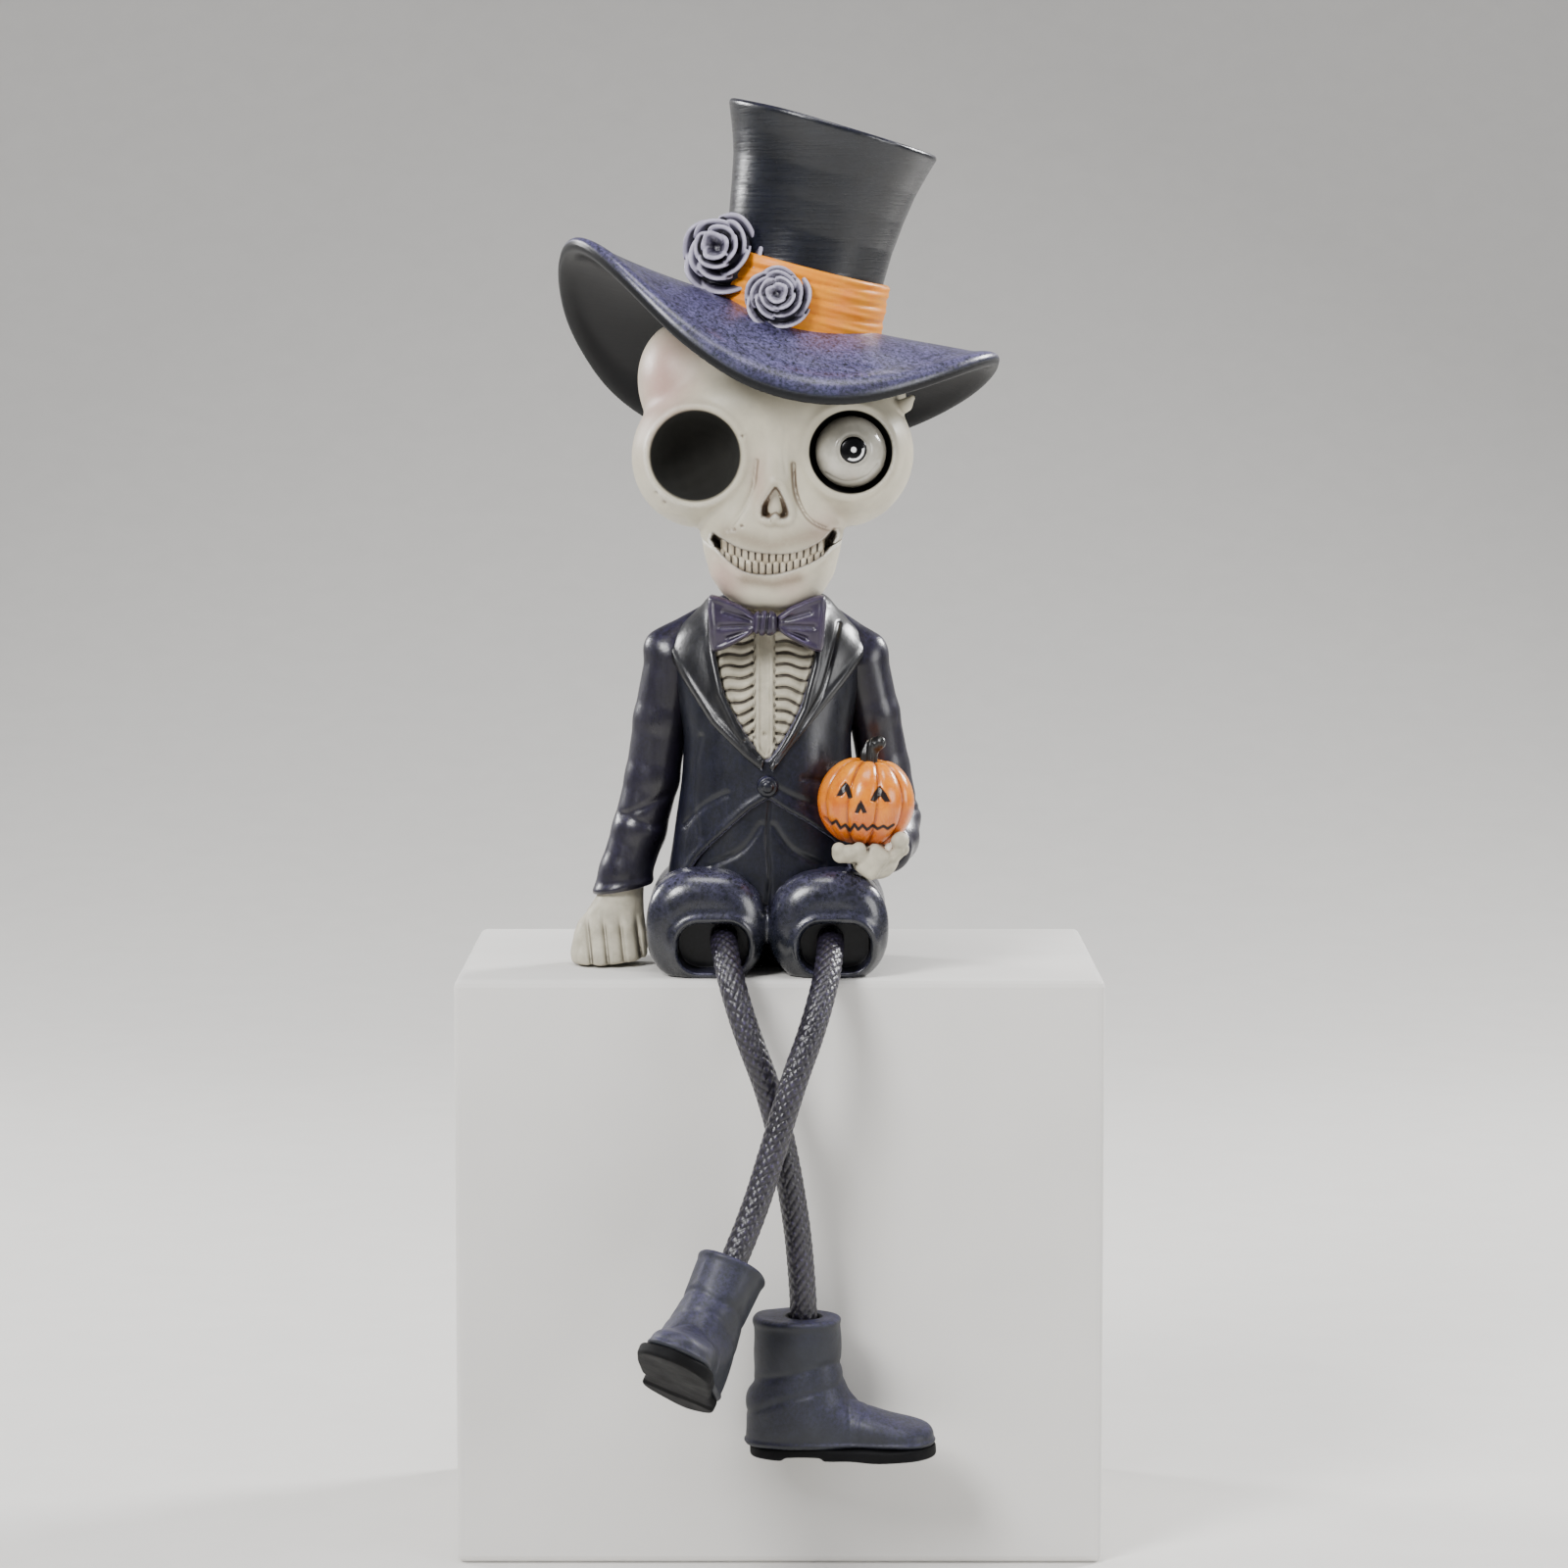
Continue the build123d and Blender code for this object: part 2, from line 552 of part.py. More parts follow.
def make_leg_cords(side):
    """A leg's cord in two parts, which meet at the knee hinge, halfway along the second run."""
    route = CORD_ROUTES[side]
    radii = route_radii(route)
    hinge = tuple((a + b) * HALF for a, b in zip(route[1], route[2]))
    knee = make_cord(route[:2] + [hinge], radii[:1], side + "_knee_cord")
    hanging = make_cord([hinge] + route[2:], radii[1:], side + "_leg_cord")
    return knee, hanging


# ---- boots ----
def ankle_plane(side):
    """The top of a boot, where its cord goes in; local X is the toe and local Z is the shaft."""
    inner_end = Vector(*CORD_ROUTES[side][-1])
    along = (Vector(*CORD_ROUTES[side][-2]) - inner_end).normalized()
    origin = inner_end + along * ANKLE_DEPTH
    toe = Vector(*TOE_DIRECTION[side])
    toe = toe - along * toe.dot(along)
    return Plane(origin=origin, x_dir=toe, z_dir=along)


def make_boot(side):
    """An ankle boot and its sole, with a round hole for the cord."""
    heel = -BOOT_LENGTH * 0.31
    toe = heel + BOOT_LENGTH
    floor = SOLE_THICKNESS - BOOT_HEIGHT
    back = -SHAFT_LENGTH * 0.59
    front = back + SHAFT_LENGTH
    instep = Spline((front - 0.5, -BOOT_HEIGHT * 0.36), (front + 2.4, -BOOT_HEIGHT * 0.55),
                    (toe - 1.2, floor + 2.6), tangents=[(0, -1), (1, -0.45)])
    outline = [
        Line((front - 0.5, -BOOT_HEIGHT * 0.36), (front, 0)),
        Line((front, 0), (back, 0)),
        Line((back, 0), (heel, floor)),
        Line((heel, floor), (toe, floor)),
        Line((toe, floor), (toe - 1.2, floor + 2.6)),
        instep,
    ]
    side_view = Rot(90, 0, 0) * extrude(make_face(outline), BOOT_WIDTH * HALF, both=True)
    middle = (heel + toe) * HALF
    print_shape = SlotOverall(BOOT_LENGTH, BOOT_WIDTH)
    upper = side_view & extrude(Pos(middle, 0, floor) * print_shape, FAR)
    hole = Pos(0, 0, -ANKLE_DEPTH) * Cylinder(CORD_DIAMETER * HALF + RUNNING_GAP, 2 * FAR,
                                              align=(Align.CENTER, Align.CENTER, Align.MIN))
    sole_shape = SlotOverall(BOOT_LENGTH + 2 * SOLE_WELT, BOOT_WIDTH + 2 * SOLE_WELT)
    sole = extrude(Pos(middle, 0, -BOOT_HEIGHT) * sole_shape, SOLE_THICKNESS)
    plane = ankle_plane(side)
    return plane * keep_largest(upper - hole), plane * keep_largest(sole)


def make_parts():
    parts = {}
    trousers = make_trousers()
    jacket = make_jacket(trousers)
    ribcage = make_ribcage(jacket, trousers)
    waistcoat = make_waistcoat(jacket, trousers)
    parts["trousers"] = trousers
    parts["jacket"] = jacket
    parts["ribcage"] = ribcage
    parts["waistcoat"] = waistcoat
    parts["right_lapel"] = make_lapel(-1, jacket, ribcage)
    parts["left_lapel"] = make_lapel(1, jacket, ribcage)
    parts["jacket_button"] = make_button(jacket, waistcoat)
    coat = [trousers, jacket, parts["right_lapel"], parts["left_lapel"], ribcage, waistcoat]
    parts["right_sleeve"] = make_right_sleeve(coat)
    parts["left_sleeve"] = make_left_sleeve(coat)
    parts["right_hand"] = make_right_hand([trousers, jacket, parts["right_sleeve"]])
    arms = [parts["left_sleeve"], trousers, jacket, waistcoat]
    parts["pumpkin"] = make_pumpkin(arms)
    parts["pumpkin_stem"] = make_pumpkin_stem(parts["pumpkin"], arms)
    parts["left_hand"] = make_left_hand(arms)
    head = make_head()
    parts.update(head)
    face = [head["skull"], head["jaw"]]
    parts["neck"] = make_neck(face + [jacket, ribcage])
    collar = [jacket, ribcage, parts["right_lapel"], parts["left_lapel"], parts["neck"]]
    parts["bow_knot"] = make_bow_knot(face + collar)
    for name, side in (("bow_right_wing", -1), ("bow_left_wing", 1)):
        parts[name] = make_bow_wing(side, face + collar + [parts["bow_knot"]])
    under = space_under_brim()
    brim = make_brim()
    crown = make_crown(under)
    band = make_band(crown, under)
    parts["hat_brim"] = brim
    parts["hat_crown"] = crown
    parts["hat_band"] = band
    hat = [brim, crown, band, under]
    parts["large_rose"] = make_rose(LARGE_ROSE_RADIUS, LARGE_ROSE_PLACE, LARGE_ROSE_HEADING, hat)
    hat.append(parts["large_rose"])
    parts["small_rose"] = make_rose(SMALL_ROSE_RADIUS, SMALL_ROSE_PLACE, SMALL_ROSE_HEADING, hat)
    for side in ("right", "left"):
        knee, hanging = make_leg_cords(side)
        parts[side + "_knee_cord"] = knee
        parts[side + "_leg_cord"] = hanging
        boot, sole = make_boot(side)
        parts[side + "_boot"] = boot
        parts[side + "_boot_sole"] = sole
    return parts


def main():
    os.makedirs("parts", exist_ok=True)
    for name, shape in make_parts().items():
        shape.label = name
        export_step(shape, os.path.join("parts", name + ".step"))


if __name__ == "__main__":
    main()
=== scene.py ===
"""Looks of a shelf-sitting skeleton gentleman: cast, hand-painted resin on two waxed cord legs.

Forms are written in millimetres in the model's own frame (+Z up, the figure faces -Y, +X is the
figure's left) as distance fields, meshed, and set down in metres.  Each piece stands for the CAD
node of the same name and rides on its body.
"""
import math

import bpy
import numpy as np
import openvdb
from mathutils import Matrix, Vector


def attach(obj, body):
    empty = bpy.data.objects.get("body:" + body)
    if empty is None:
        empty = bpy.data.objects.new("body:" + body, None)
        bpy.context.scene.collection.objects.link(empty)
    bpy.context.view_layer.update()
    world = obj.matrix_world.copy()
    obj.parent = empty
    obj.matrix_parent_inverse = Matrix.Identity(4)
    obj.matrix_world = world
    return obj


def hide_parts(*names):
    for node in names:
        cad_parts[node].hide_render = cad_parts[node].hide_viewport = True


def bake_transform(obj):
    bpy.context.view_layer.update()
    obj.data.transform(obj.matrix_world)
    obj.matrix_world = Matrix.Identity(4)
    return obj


bl_info = {
    "name": "Shelf sitter figure",
    "version": (1, 0, 0),
    "blender": (4, 5, 0),
    "location": "3D View > Sidebar > Figure",
    "description": "Casts, paints and stages a shelf-sitting skeleton gentleman",
    "category": "Add Mesh",
}

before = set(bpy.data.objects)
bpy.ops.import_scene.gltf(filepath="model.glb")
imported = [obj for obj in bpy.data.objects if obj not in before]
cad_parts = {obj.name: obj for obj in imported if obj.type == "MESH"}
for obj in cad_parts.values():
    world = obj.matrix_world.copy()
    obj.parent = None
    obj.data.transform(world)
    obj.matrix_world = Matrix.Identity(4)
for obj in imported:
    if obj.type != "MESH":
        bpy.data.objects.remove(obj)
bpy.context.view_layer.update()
MM = 0.001

# ---- routes of the two cord legs, in metres, from inside the trousers to inside the boots ----
LEG_ROUTES = {
    "right": [
        (-0.0070, -0.0105, 0.0061), (-0.0070, -0.0190, 0.0061), (-0.0058, -0.0266, 0.0012),
        (-0.0032, -0.0292, -0.0072), (0.0008, -0.0297, -0.0175), (0.0035, -0.0296, -0.0295),
        (0.0056, -0.0291, -0.0440), (0.0061, -0.0289, -0.0575),
    ],
    "left": [
        (0.0102, -0.0105, 0.0056), (0.0102, -0.0190, 0.0056), (0.0096, -0.0266, 0.0017),
        (0.0072, -0.0326, -0.0063), (0.0043, -0.0346, -0.0138), (0.0014, -0.0354, -0.0235),
        (-0.0026, -0.0374, -0.0363), (-0.0072, -0.0420, -0.0460),
    ],
}
TOE_DIRECTIONS = {"right": (0.97, -0.24, 0.0), "left": (-0.04, -0.92, 0.38)}
POINTS_AROUND_CORD = 96
BRAID_RELIEF = 0.2 * MM

# ---- camera, in metres, millimetres of lens and degrees ----
CAMERA_PLACE = (0.00272, -0.7467, 0.1001)
CAMERA_DIPS = 5.4
CAMERA_LENS = 105.47
CAMERA_SENSOR = 36.0


def linear(hex_colour):
    """A colour given as sRGB hex, as the linear red, green, blue and alpha that Blender wants."""
    channels = [int(hex_colour[i:i + 2], 16) / 255 for i in (0, 2, 4)]
    flat = [c / 12.92 if c <= 0.04045 else ((c + 0.055) / 1.055) ** 2.4 for c in channels]
    return (*flat, 1.0)


def length_setting(name, description, millimetres):
    return bpy.props.FloatProperty(
        name=name, description=description, default=millimetres * MM, min=0.0,
        unit="LENGTH", subtype="DISTANCE", precision=5)


def colour_setting(name, description, hex_colour):
    return bpy.props.FloatVectorProperty(
        name=name, description=description, default=linear(hex_colour), size=4,
        min=0.0, max=1.0, subtype="COLOR")


class FigureSizes(bpy.types.PropertyGroup):
    """Sizes that a maker would change"""
    cord_diameter: length_setting("Cord diameter", "Thickness of a braided leg", 4.4)
    braid_pitch: length_setting("Braid pitch", "Length of one strand crossing along a leg", 1.75)
    brim_thickness: length_setting("Brim thickness", "Thickness of the hat brim", 2.0)
    tooth_pitch: length_setting("Tooth pitch", "Width of one tooth", 1.1)
    rib_pitch: length_setting("Rib pitch", "Distance from rib to rib", 1.8)
    lapel_relief: length_setting("Lapel relief", "How far the lapels stand off the coat", 0.75)
    ledge_width: length_setting("Ledge width", "Width of the raised step that the figure sits on", 104.0)
    floor_drop: length_setting("Floor drop", "From the seat down to the floor", 95.0)
    hat_lean: bpy.props.FloatProperty(
        name="Hat lean", description="Tilt of the hat towards the figure's left",
        default=math.radians(13.0), unit="ROTATION", subtype="ANGLE")
    strands: bpy.props.IntProperty(
        name="Strands", description="Strands of the braid running each way", default=9, min=3)


class FigurePaints(bpy.types.PropertyGroup):
    """Paint colours that a maker would change"""
    bone: colour_setting("Bone", "Ivory of the skull, ribs and hands", "c6bfaa")
    # The bone's wash colour also paints the shade in its hollows.
    bone_wash_and_shade: colour_setting("Bone wash and shade", "Brown wash and painted shade in the bone's hollows", "55402f")
    # Blush: a painted reflection on the temple, and rosy tint elsewhere.
    blush_and_reflection: colour_setting("Blush and reflection", "Rosy painted reflection on the temple and tint on the chin", "b07f7c")
    socket: colour_setting("Socket", "Sponge black of the empty eye socket", "1c1b17")
    coat: colour_setting("Coat", "Blue black of the coat and trousers", "11141c")
    satin: colour_setting("Sleeves", "Violet black of the sleeves", "17131f")
    lapel: colour_setting("Lapels", "Black of the lapels", "08080b")
    # Overspray colour: also painted sheen on upward surfaces.
    overspray_and_sheen: colour_setting("Overspray and sheen", "Violet mist and painted sheen on upward surfaces", "6d66a6")
    glint: colour_setting("Edge paint", "Lilac grey dry-brushed on the edges", "a3a0bd")
    hat: colour_setting("Hat", "Blue black of the crown", "0f131b")
    # Brim colour: a painted violet reflection on the brim's upper side.
    brim: colour_setting("Brim", "Slate violet painted reflection on the brim's upper side", "7c74aa")
    band: colour_setting("Band", "Orange ribbon", "e89400")
    rose: colour_setting("Roses", "Dusky violet of the roses", "252033")
    rose_edge: colour_setting("Petal edges", "Pale lilac on the petal edges", "b9b3c9")
    pumpkin: colour_setting("Pumpkin", "Orange of the pumpkin", "e28400")
    bow: colour_setting("Bow tie", "Plum of the bow tie", "33283f")
    cord: colour_setting("Cord", "Waxed black violet of the legs", "1b1722")
    boot: colour_setting("Boots", "Matt slate of the boots", "1a1e28")
    stage: colour_setting("Stage", "Pale floor and ledge", "d9d7d3")


def sizes():
    return bpy.context.scene.figure_sizes


def paints():
    return bpy.context.scene.figure_paints


# ---- distance fields: every form takes an array of points and gives a distance at each ----
def length(v):
    return np.sqrt((v * v).sum(-1))


def ball(p, centre, radius):
    return length(p - np.asarray(centre, p.dtype)) - radius


def egg(p, centre, radii):
    q = (p - np.asarray(centre, p.dtype)) / np.asarray(radii, p.dtype)
    k = length(q)
    return k * (k - 1) / np.maximum(length(q / np.asarray(radii, p.dtype)), 1e-5)


def limb(p, start, end, start_radius, end_radius):
    a = np.asarray(start, p.dtype)
    along = np.asarray(end, p.dtype) - a
    share = np.clip((p - a) @ along / (along @ along), 0, 1)
    return length(p - a - share[:, None] * along) - (start_radius + (end_radius - start_radius) * share)


def chain(p, stations, soft=1.0):
    """Limbs end to end: each station is a centre and a radius."""
    d = None
    for (a, ra), (b, rb) in zip(stations, stations[1:]):
        piece = limb(p, a, b, ra, rb)
        d = piece if d is None else join(d, piece, soft)
    return d


def block(p, centre, half, rounding):
    q = np.abs(p - np.asarray(centre, p.dtype)) - (np.asarray(half, p.dtype) - rounding)
    return length(np.maximum(q, 0)) + np.minimum(q.max(-1), 0) - rounding


def join(a, b, soft):
    h = np.clip(0.5 + 0.5 * (b - a) / soft, 0, 1)
    return b + (a - b) * h - soft * h * (1 - h)


def meet(a, b, soft):
    return -join(-a, -b, soft)


def carve(a, b, soft):
    return -join(-a, b, soft)


def ridge(distance, width):
    """1 on a line, fading to 0 at about twice the width."""
    return np.exp(-(distance / width) ** 2)


def ease(value, low, high):
    t = np.clip((value - low) / (high - low), 0, 1)
    return t * t * (3 - 2 * t)


def wobble(p, size, seed):
    """Slow hand-made unevenness between about -1 and 1."""
    random = np.random.default_rng(seed)
    total = 0
    for _ in range(4):
        wave = random.normal(size=3)
        wave *= 2 * math.pi / size / np.linalg.norm(wave)
        total = total + np.sin(p @ wave.astype(p.dtype) + random.uniform(0, 6.28))
    return total / 3


def column(p, stations, power=2.0, axis=2):
    """A form through oval sections: (place on the axis, half sizes on the other two, their centres)."""
    table = np.array(stations, float)
    fine = np.linspace(table[0, 0], table[-1, 0], 200)
    kernel = np.hanning(23)
    kernel /= kernel.sum()
    across = [i for i in range(3) if i != axis]
    values = []
    for column_index in range(1, 5):
        rough = np.interp(fine, table[:, 0], table[:, column_index])
        padded = np.pad(rough, 11, mode="reflect", reflect_type="odd")
        values.append(np.interp(p[:, axis], fine, np.convolve(padded, kernel, "valid")))
    a, b, ca, cb = values
    qa = np.abs(p[:, across[0]] - ca) / a
    qb = np.abs(p[:, across[1]] - cb) / b
    k = np.maximum((qa ** power + qb ** power) ** (1 / power), 1e-4)
    slope = np.hypot((qa / k) ** (power - 1) / a, (qb / k) ** (power - 1) / b)
    return (k - 1) / np.maximum(slope, 1 / np.maximum(a, b))


def flow(points, steps=8):
    """A smooth line through the points."""
    pts = np.array([points[0], *points, points[-1]], float)
    line = []
    for a, b, c, d in zip(pts, pts[1:], pts[2:], pts[3:]):
        for t in np.arange(steps) / steps:
            line.append(0.5 * (2 * b + (c - a) * t + (2 * a - 5 * b + 4 * c - d) * t ** 2
                               + (3 * b - a - 3 * c + d) * t ** 3))
    return [*line, pts[-1]]


def from_line(u, v, points, closed=False):
    """Distance in a plane to a line, or to a closed outline with its inside negative."""
    pts = np.array(points, float)
    ends = np.roll(pts, -1, 0) if closed else pts[1:]
    best = np.full(u.shape, 1e9)
    inside = np.zeros(u.shape, bool)
    for (au, av), (bu, bv) in zip(pts, ends):
        eu, ev = bu - au, bv - av
        wu, wv = u - au, v - av
        share = np.clip((wu * eu + wv * ev) / max(eu * eu + ev * ev, 1e-9), 0, 1)
        best = np.minimum(best, (wu - eu * share) ** 2 + (wv - ev * share) ** 2)
        if closed and av != bv:
            inside ^= ((av > v) != (bv > v)) & (wu < eu * wv / ev)
    best = np.sqrt(best)
    return np.where(inside, -best, best) if closed else best


def turn(degrees_x=0.0, degrees_y=0.0, degrees_z=0.0):
    """The axes of a frame turned about X, then Y, then Z, as rows."""
    cx, cy, cz = (math.cos(math.radians(v)) for v in (degrees_x, degrees_y, degrees_z))
    sx, sy, sz = (math.sin(math.radians(v)) for v in (degrees_x, degrees_y, degrees_z))
    about_x = np.array([[1, 0, 0], [0, cx, -sx], [0, sx, cx]])
    about_y = np.array([[cy, 0, sy], [0, 1, 0], [-sy, 0, cy]])
    about_z = np.array([[cz, -sz, 0], [sz, cz, 0], [0, 0, 1]])
    return (about_z @ about_y @ about_x).T


def into(p, origin, axes):
    return (p - np.asarray(origin, p.dtype)) @ np.asarray(axes, p.dtype).T


def facing(normal):
    """Axes whose third row is the given direction, and whose second row is as upright as can be."""
    out = np.array(normal, float) / np.linalg.norm(normal)
    side = np.cross((0, 0, 1), out)
    side /= np.linalg.norm(side)
    return np.array([side, np.cross(out, side), out])


# ---- meshing ----
TILE = 8


def field_grid(form, low, high, grain):
    """The field on a grid: exact near the surface, and only its sign far away."""
    count = np.ceil((high - low) / grain / TILE).astype(int)
    index = np.stack(np.meshgrid(*[np.arange(n) for n in count], indexing="ij"), -1).reshape(-1, 3)
    middle = low + (index * TILE + (TILE - 1) / 2) * grain
    rough = form(middle)
    near = np.flatnonzero(np.abs(rough) < TILE * grain * 1.35)
    tiles = np.repeat(rough.astype(np.float32)[:, None], TILE ** 3, 1)
    steps = np.stack(np.meshgrid(*[np.arange(TILE)] * 3, indexing="ij"), -1).reshape(-1, 3)
    for start in range(0, len(near), 600):
        some = near[start:start + 600]
        corner = low + index[some] * TILE * grain
        points = (corner[:, None, :] + steps[None] * grain).reshape(-1, 3)
        tiles[some] = form(points).reshape(len(some), -1)
    return (tiles.reshape(*count, TILE, TILE, TILE).transpose(0, 3, 1, 4, 2, 5)
            .reshape(*(count * TILE)).copy())


def slopes(form, p, step=0.03):
    rows = []
    for offset in np.eye(3) * step:
        rows.append((form(p + offset) - form(p - offset)) / (2 * step))
    return np.stack(rows, 1)


def new_mesh(name, vertices, faces):
    """A smooth mesh from vertices in metres and faces that all have the same number of corners."""
    mesh = bpy.data.meshes.new(name)
    corners = faces.shape[1]
    mesh.vertices.add(len(vertices))
    mesh.vertices.foreach_set("co", vertices.astype(np.float32).ravel())
    mesh.loops.add(faces.size)
    mesh.loops.foreach_set("vertex_index", faces.astype(np.int32).ravel())
    mesh.polygons.add(len(faces))
    mesh.polygons.foreach_set("loop_start", np.arange(0, faces.size, corners, dtype=np.int32))
    mesh.polygons.foreach_set("use_smooth", np.ones(len(faces), bool))
    mesh.update(calc_edges=True)
    mesh.validate()
    piece = bpy.data.objects.new(name, mesh)
    bpy.context.scene.collection.objects.link(piece)
    return piece


def stain(piece, name, values):
    """Keeps a paint mask on the vertices."""
    mask = piece.data.attributes.new(name, "FLOAT", "POINT")
    mask.data.foreach_set("value", np.clip(values, 0, 1).astype(np.float32))


def cast(node, form, low, high, grain, material, body="figure", hollow=0.9, edge=0.5, masks=None):
    """Meshes a form, keeps its hollows and edges as paint masks, and sets it in place of its node."""
    low, high = np.array(low, float), np.array(high, float)
    grid = openvdb.FloatGrid()
    grid.copyFromArray(field_grid(form, low, high, grain))
    points, quads = grid.convertToQuads(0.0)
    p = low + points.astype(float) * grain
    for _ in range(2):
        lean = slopes(form, p)
        steep = np.maximum((lean * lean).sum(1), 0.05)
        p = p - np.clip(form(p) / steep, -grain * 0.7, grain * 0.7)[:, None] * lean
    lean = slopes(form, p)
    steep = np.maximum(length(lean), 0.2)
    out = lean / steep[:, None]
    piece = new_mesh(node + "_cast", p * MM, quads)
    stain(piece, "hollow", 1 - form(p + out * hollow) / (hollow * steep))
    stain(piece, "edge", 1 + form(p - out * edge) / (edge * steep))
    for name, mask in (masks or {}).items():
        stain(piece, name, mask(p))
    piece.data.materials.append(material)
    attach(piece, body)
    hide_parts(node)
    return piece


# ---- materials ----
def add(tree, kind, inputs=None, **settings):
    """Adds one node: settings on the node itself, then values or links on its inputs."""
    node = tree.nodes.new("ShaderNode" + kind)
    for key, value in settings.items():
        setattr(node, key, value)
    for key, value in (inputs or {}).items():
        if isinstance(value, bpy.types.NodeSocket):
            tree.links.new(value, node.inputs[key])
        else:
            node.inputs[key].default_value = value
    return node


def coloured(tree, share, below, above):
    """Mixes two colours by a share; inputs 6 and 7 and output 2 are the Mix node's colours."""
    return add(tree, "Mix", {0: share, 6: below, 7: above}, data_type="RGBA").outputs[2]


def spread(tree, value, low, high, to_low=0.0, to_high=1.0):
    return add(tree, "MapRange", {0: value, 1: low, 2: high, 3: to_low, 4: to_high}).outputs[0]


def times(tree, first, second):
    return add(tree, "Math", {0: first, 1: second}, operation="MULTIPLY").outputs[0]


def painted_resin(name, base, shade, wash_and_shade, edge, wash_and_shade_share=0.8, edge_share=0.6, overspray_and_sheen=None,
                  overspray_and_sheen_share=0.0, roughness=(0.34, 0.5), coat=0.25, coat_roughness=0.25,
                  brush_mm=(6.0, 6.0, 0.5), brush_depth=0.05, stains=(), mottle_mm=3.5, grain_depth=0.03,
                  matt_black_and_shade=None, shine=0.5):
    """Cast polyresin painted by hand: a mottled base, a dark wash that stays in the hollows and is partly
    painted shade there, and paler paint dragged over the edges; brush marks run along the longest of
    brush_mm.  Where a piece is masked as black paint and shade, it gets a flat, dull black last."""
    material = bpy.data.materials.new(name)
    material.use_nodes = True
    tree = material.node_tree
    shader = tree.nodes["Principled BSDF"]
    place = add(tree, "TexCoord").outputs["Object"]
    mottle = add(tree, "TexNoise", {"Vector": place, "Scale": 1 / (mottle_mm * MM), "Detail": 4.0,
                                    "Roughness": 0.6}).outputs["Fac"]
    stretched = add(tree, "Mapping", {"Vector": place, "Scale": [1 / (v * MM) for v in brush_mm]},
                    vector_type="POINT").outputs["Vector"]
    strokes = add(tree, "TexNoise", {"Vector": stretched, "Scale": 1.0, "Detail": 3.0,
                                     "Roughness": 0.65}).outputs["Fac"]
    speckle = add(tree, "TexNoise", {"Vector": place, "Scale": 1 / (0.55 * MM), "Detail": 3.0,
                                     "Roughness": 0.7}).outputs["Fac"]
    colour = coloured(tree, spread(tree, mottle, 0.36, 0.66), shade, base)
    colour = coloured(tree, spread(tree, strokes, 0.42, 0.7, 0.0, 0.35), colour, shade)
    # Partly violet overspray and partly painted sheen: surfaces facing up are lightened as if lit from above.
    if overspray_and_sheen is not None:
        up = add(tree, "SeparateXYZ", {0: add(tree, "NewGeometry").outputs["Normal"]}).outputs["Z"]
        upward_sheen = times(tree, spread(tree, up, -0.15, 0.85), spread(tree, speckle, 0.36, 0.62))
        upward_sheen = times(tree, upward_sheen, spread(tree, mottle, 0.25, 0.7, 0.45, 1.0))
        colour = coloured(tree, times(tree, upward_sheen, overspray_and_sheen_share), colour, overspray_and_sheen)
    for mask, stain_colour, share in stains:
        found = add(tree, "Attribute", attribute_name=mask).outputs["Fac"]
        uneven = times(tree, found, spread(tree, speckle, 0.2, 0.5, 0.75, 1.0))
        colour = coloured(tree, times(tree, uneven, share), colour, stain_colour)
    # Partly real wash and partly painted shade: the hollows are darkened with the wash colour.
    hollow = add(tree, "Attribute", attribute_name="hollow").outputs["Fac"]
    washed_and_shaded = times(tree, spread(tree, hollow, 0.18, 0.75), spread(tree, mottle, 0.2, 0.6, 0.65, 1.0))
    colour = coloured(tree, times(tree, washed_and_shaded, wash_and_shade_share), colour, wash_and_shade)
    worn = add(tree, "Attribute", attribute_name="edge").outputs["Fac"]
    dragged = times(tree, spread(tree, worn, 0.3, 0.85), spread(tree, speckle, 0.34, 0.55, 0.3, 1.0))
    colour = coloured(tree, times(tree, dragged, edge_share), colour, edge)
    gloss = spread(tree, strokes, 0.3, 0.7, roughness[0], roughness[1])
    # Flat dull black last: painted black on sockets and faces, and painted shade under the hat brim.
    if matt_black_and_shade is not None:
        covered = add(tree, "Attribute", attribute_name="black_paint_and_shade").outputs["Fac"]
        colour = coloured(tree, covered, colour, coloured(tree, mottle, matt_black_and_shade, tint(matt_black_and_shade, 0.5)))
        gloss = add(tree, "Math", {0: gloss, 1: covered}, operation="MAXIMUM").outputs[0]
    relief = add(tree, "Bump", {"Height": strokes, "Strength": 1.0, "Distance": brush_depth * MM}).outputs[0]
    relief = add(tree, "Bump", {"Height": speckle, "Strength": 1.0, "Distance": grain_depth * MM,
                                "Normal": relief}).outputs[0]
    for socket, value in (("Base Color", colour), ("Normal", relief), ("Roughness", gloss)):
        tree.links.new(value, shader.inputs[socket])
    shader.inputs["IOR"].default_value = 1.5
    shader.inputs["Specular IOR Level"].default_value = shine
    shader.inputs["Coat Weight"].default_value = coat
    shader.inputs["Coat Roughness"].default_value = coat_roughness
    return material


def tint(colour, factor):
    return tuple(min(1.0, c * factor) for c in colour[:3]) + (1.0,)


MATERIALS = {}


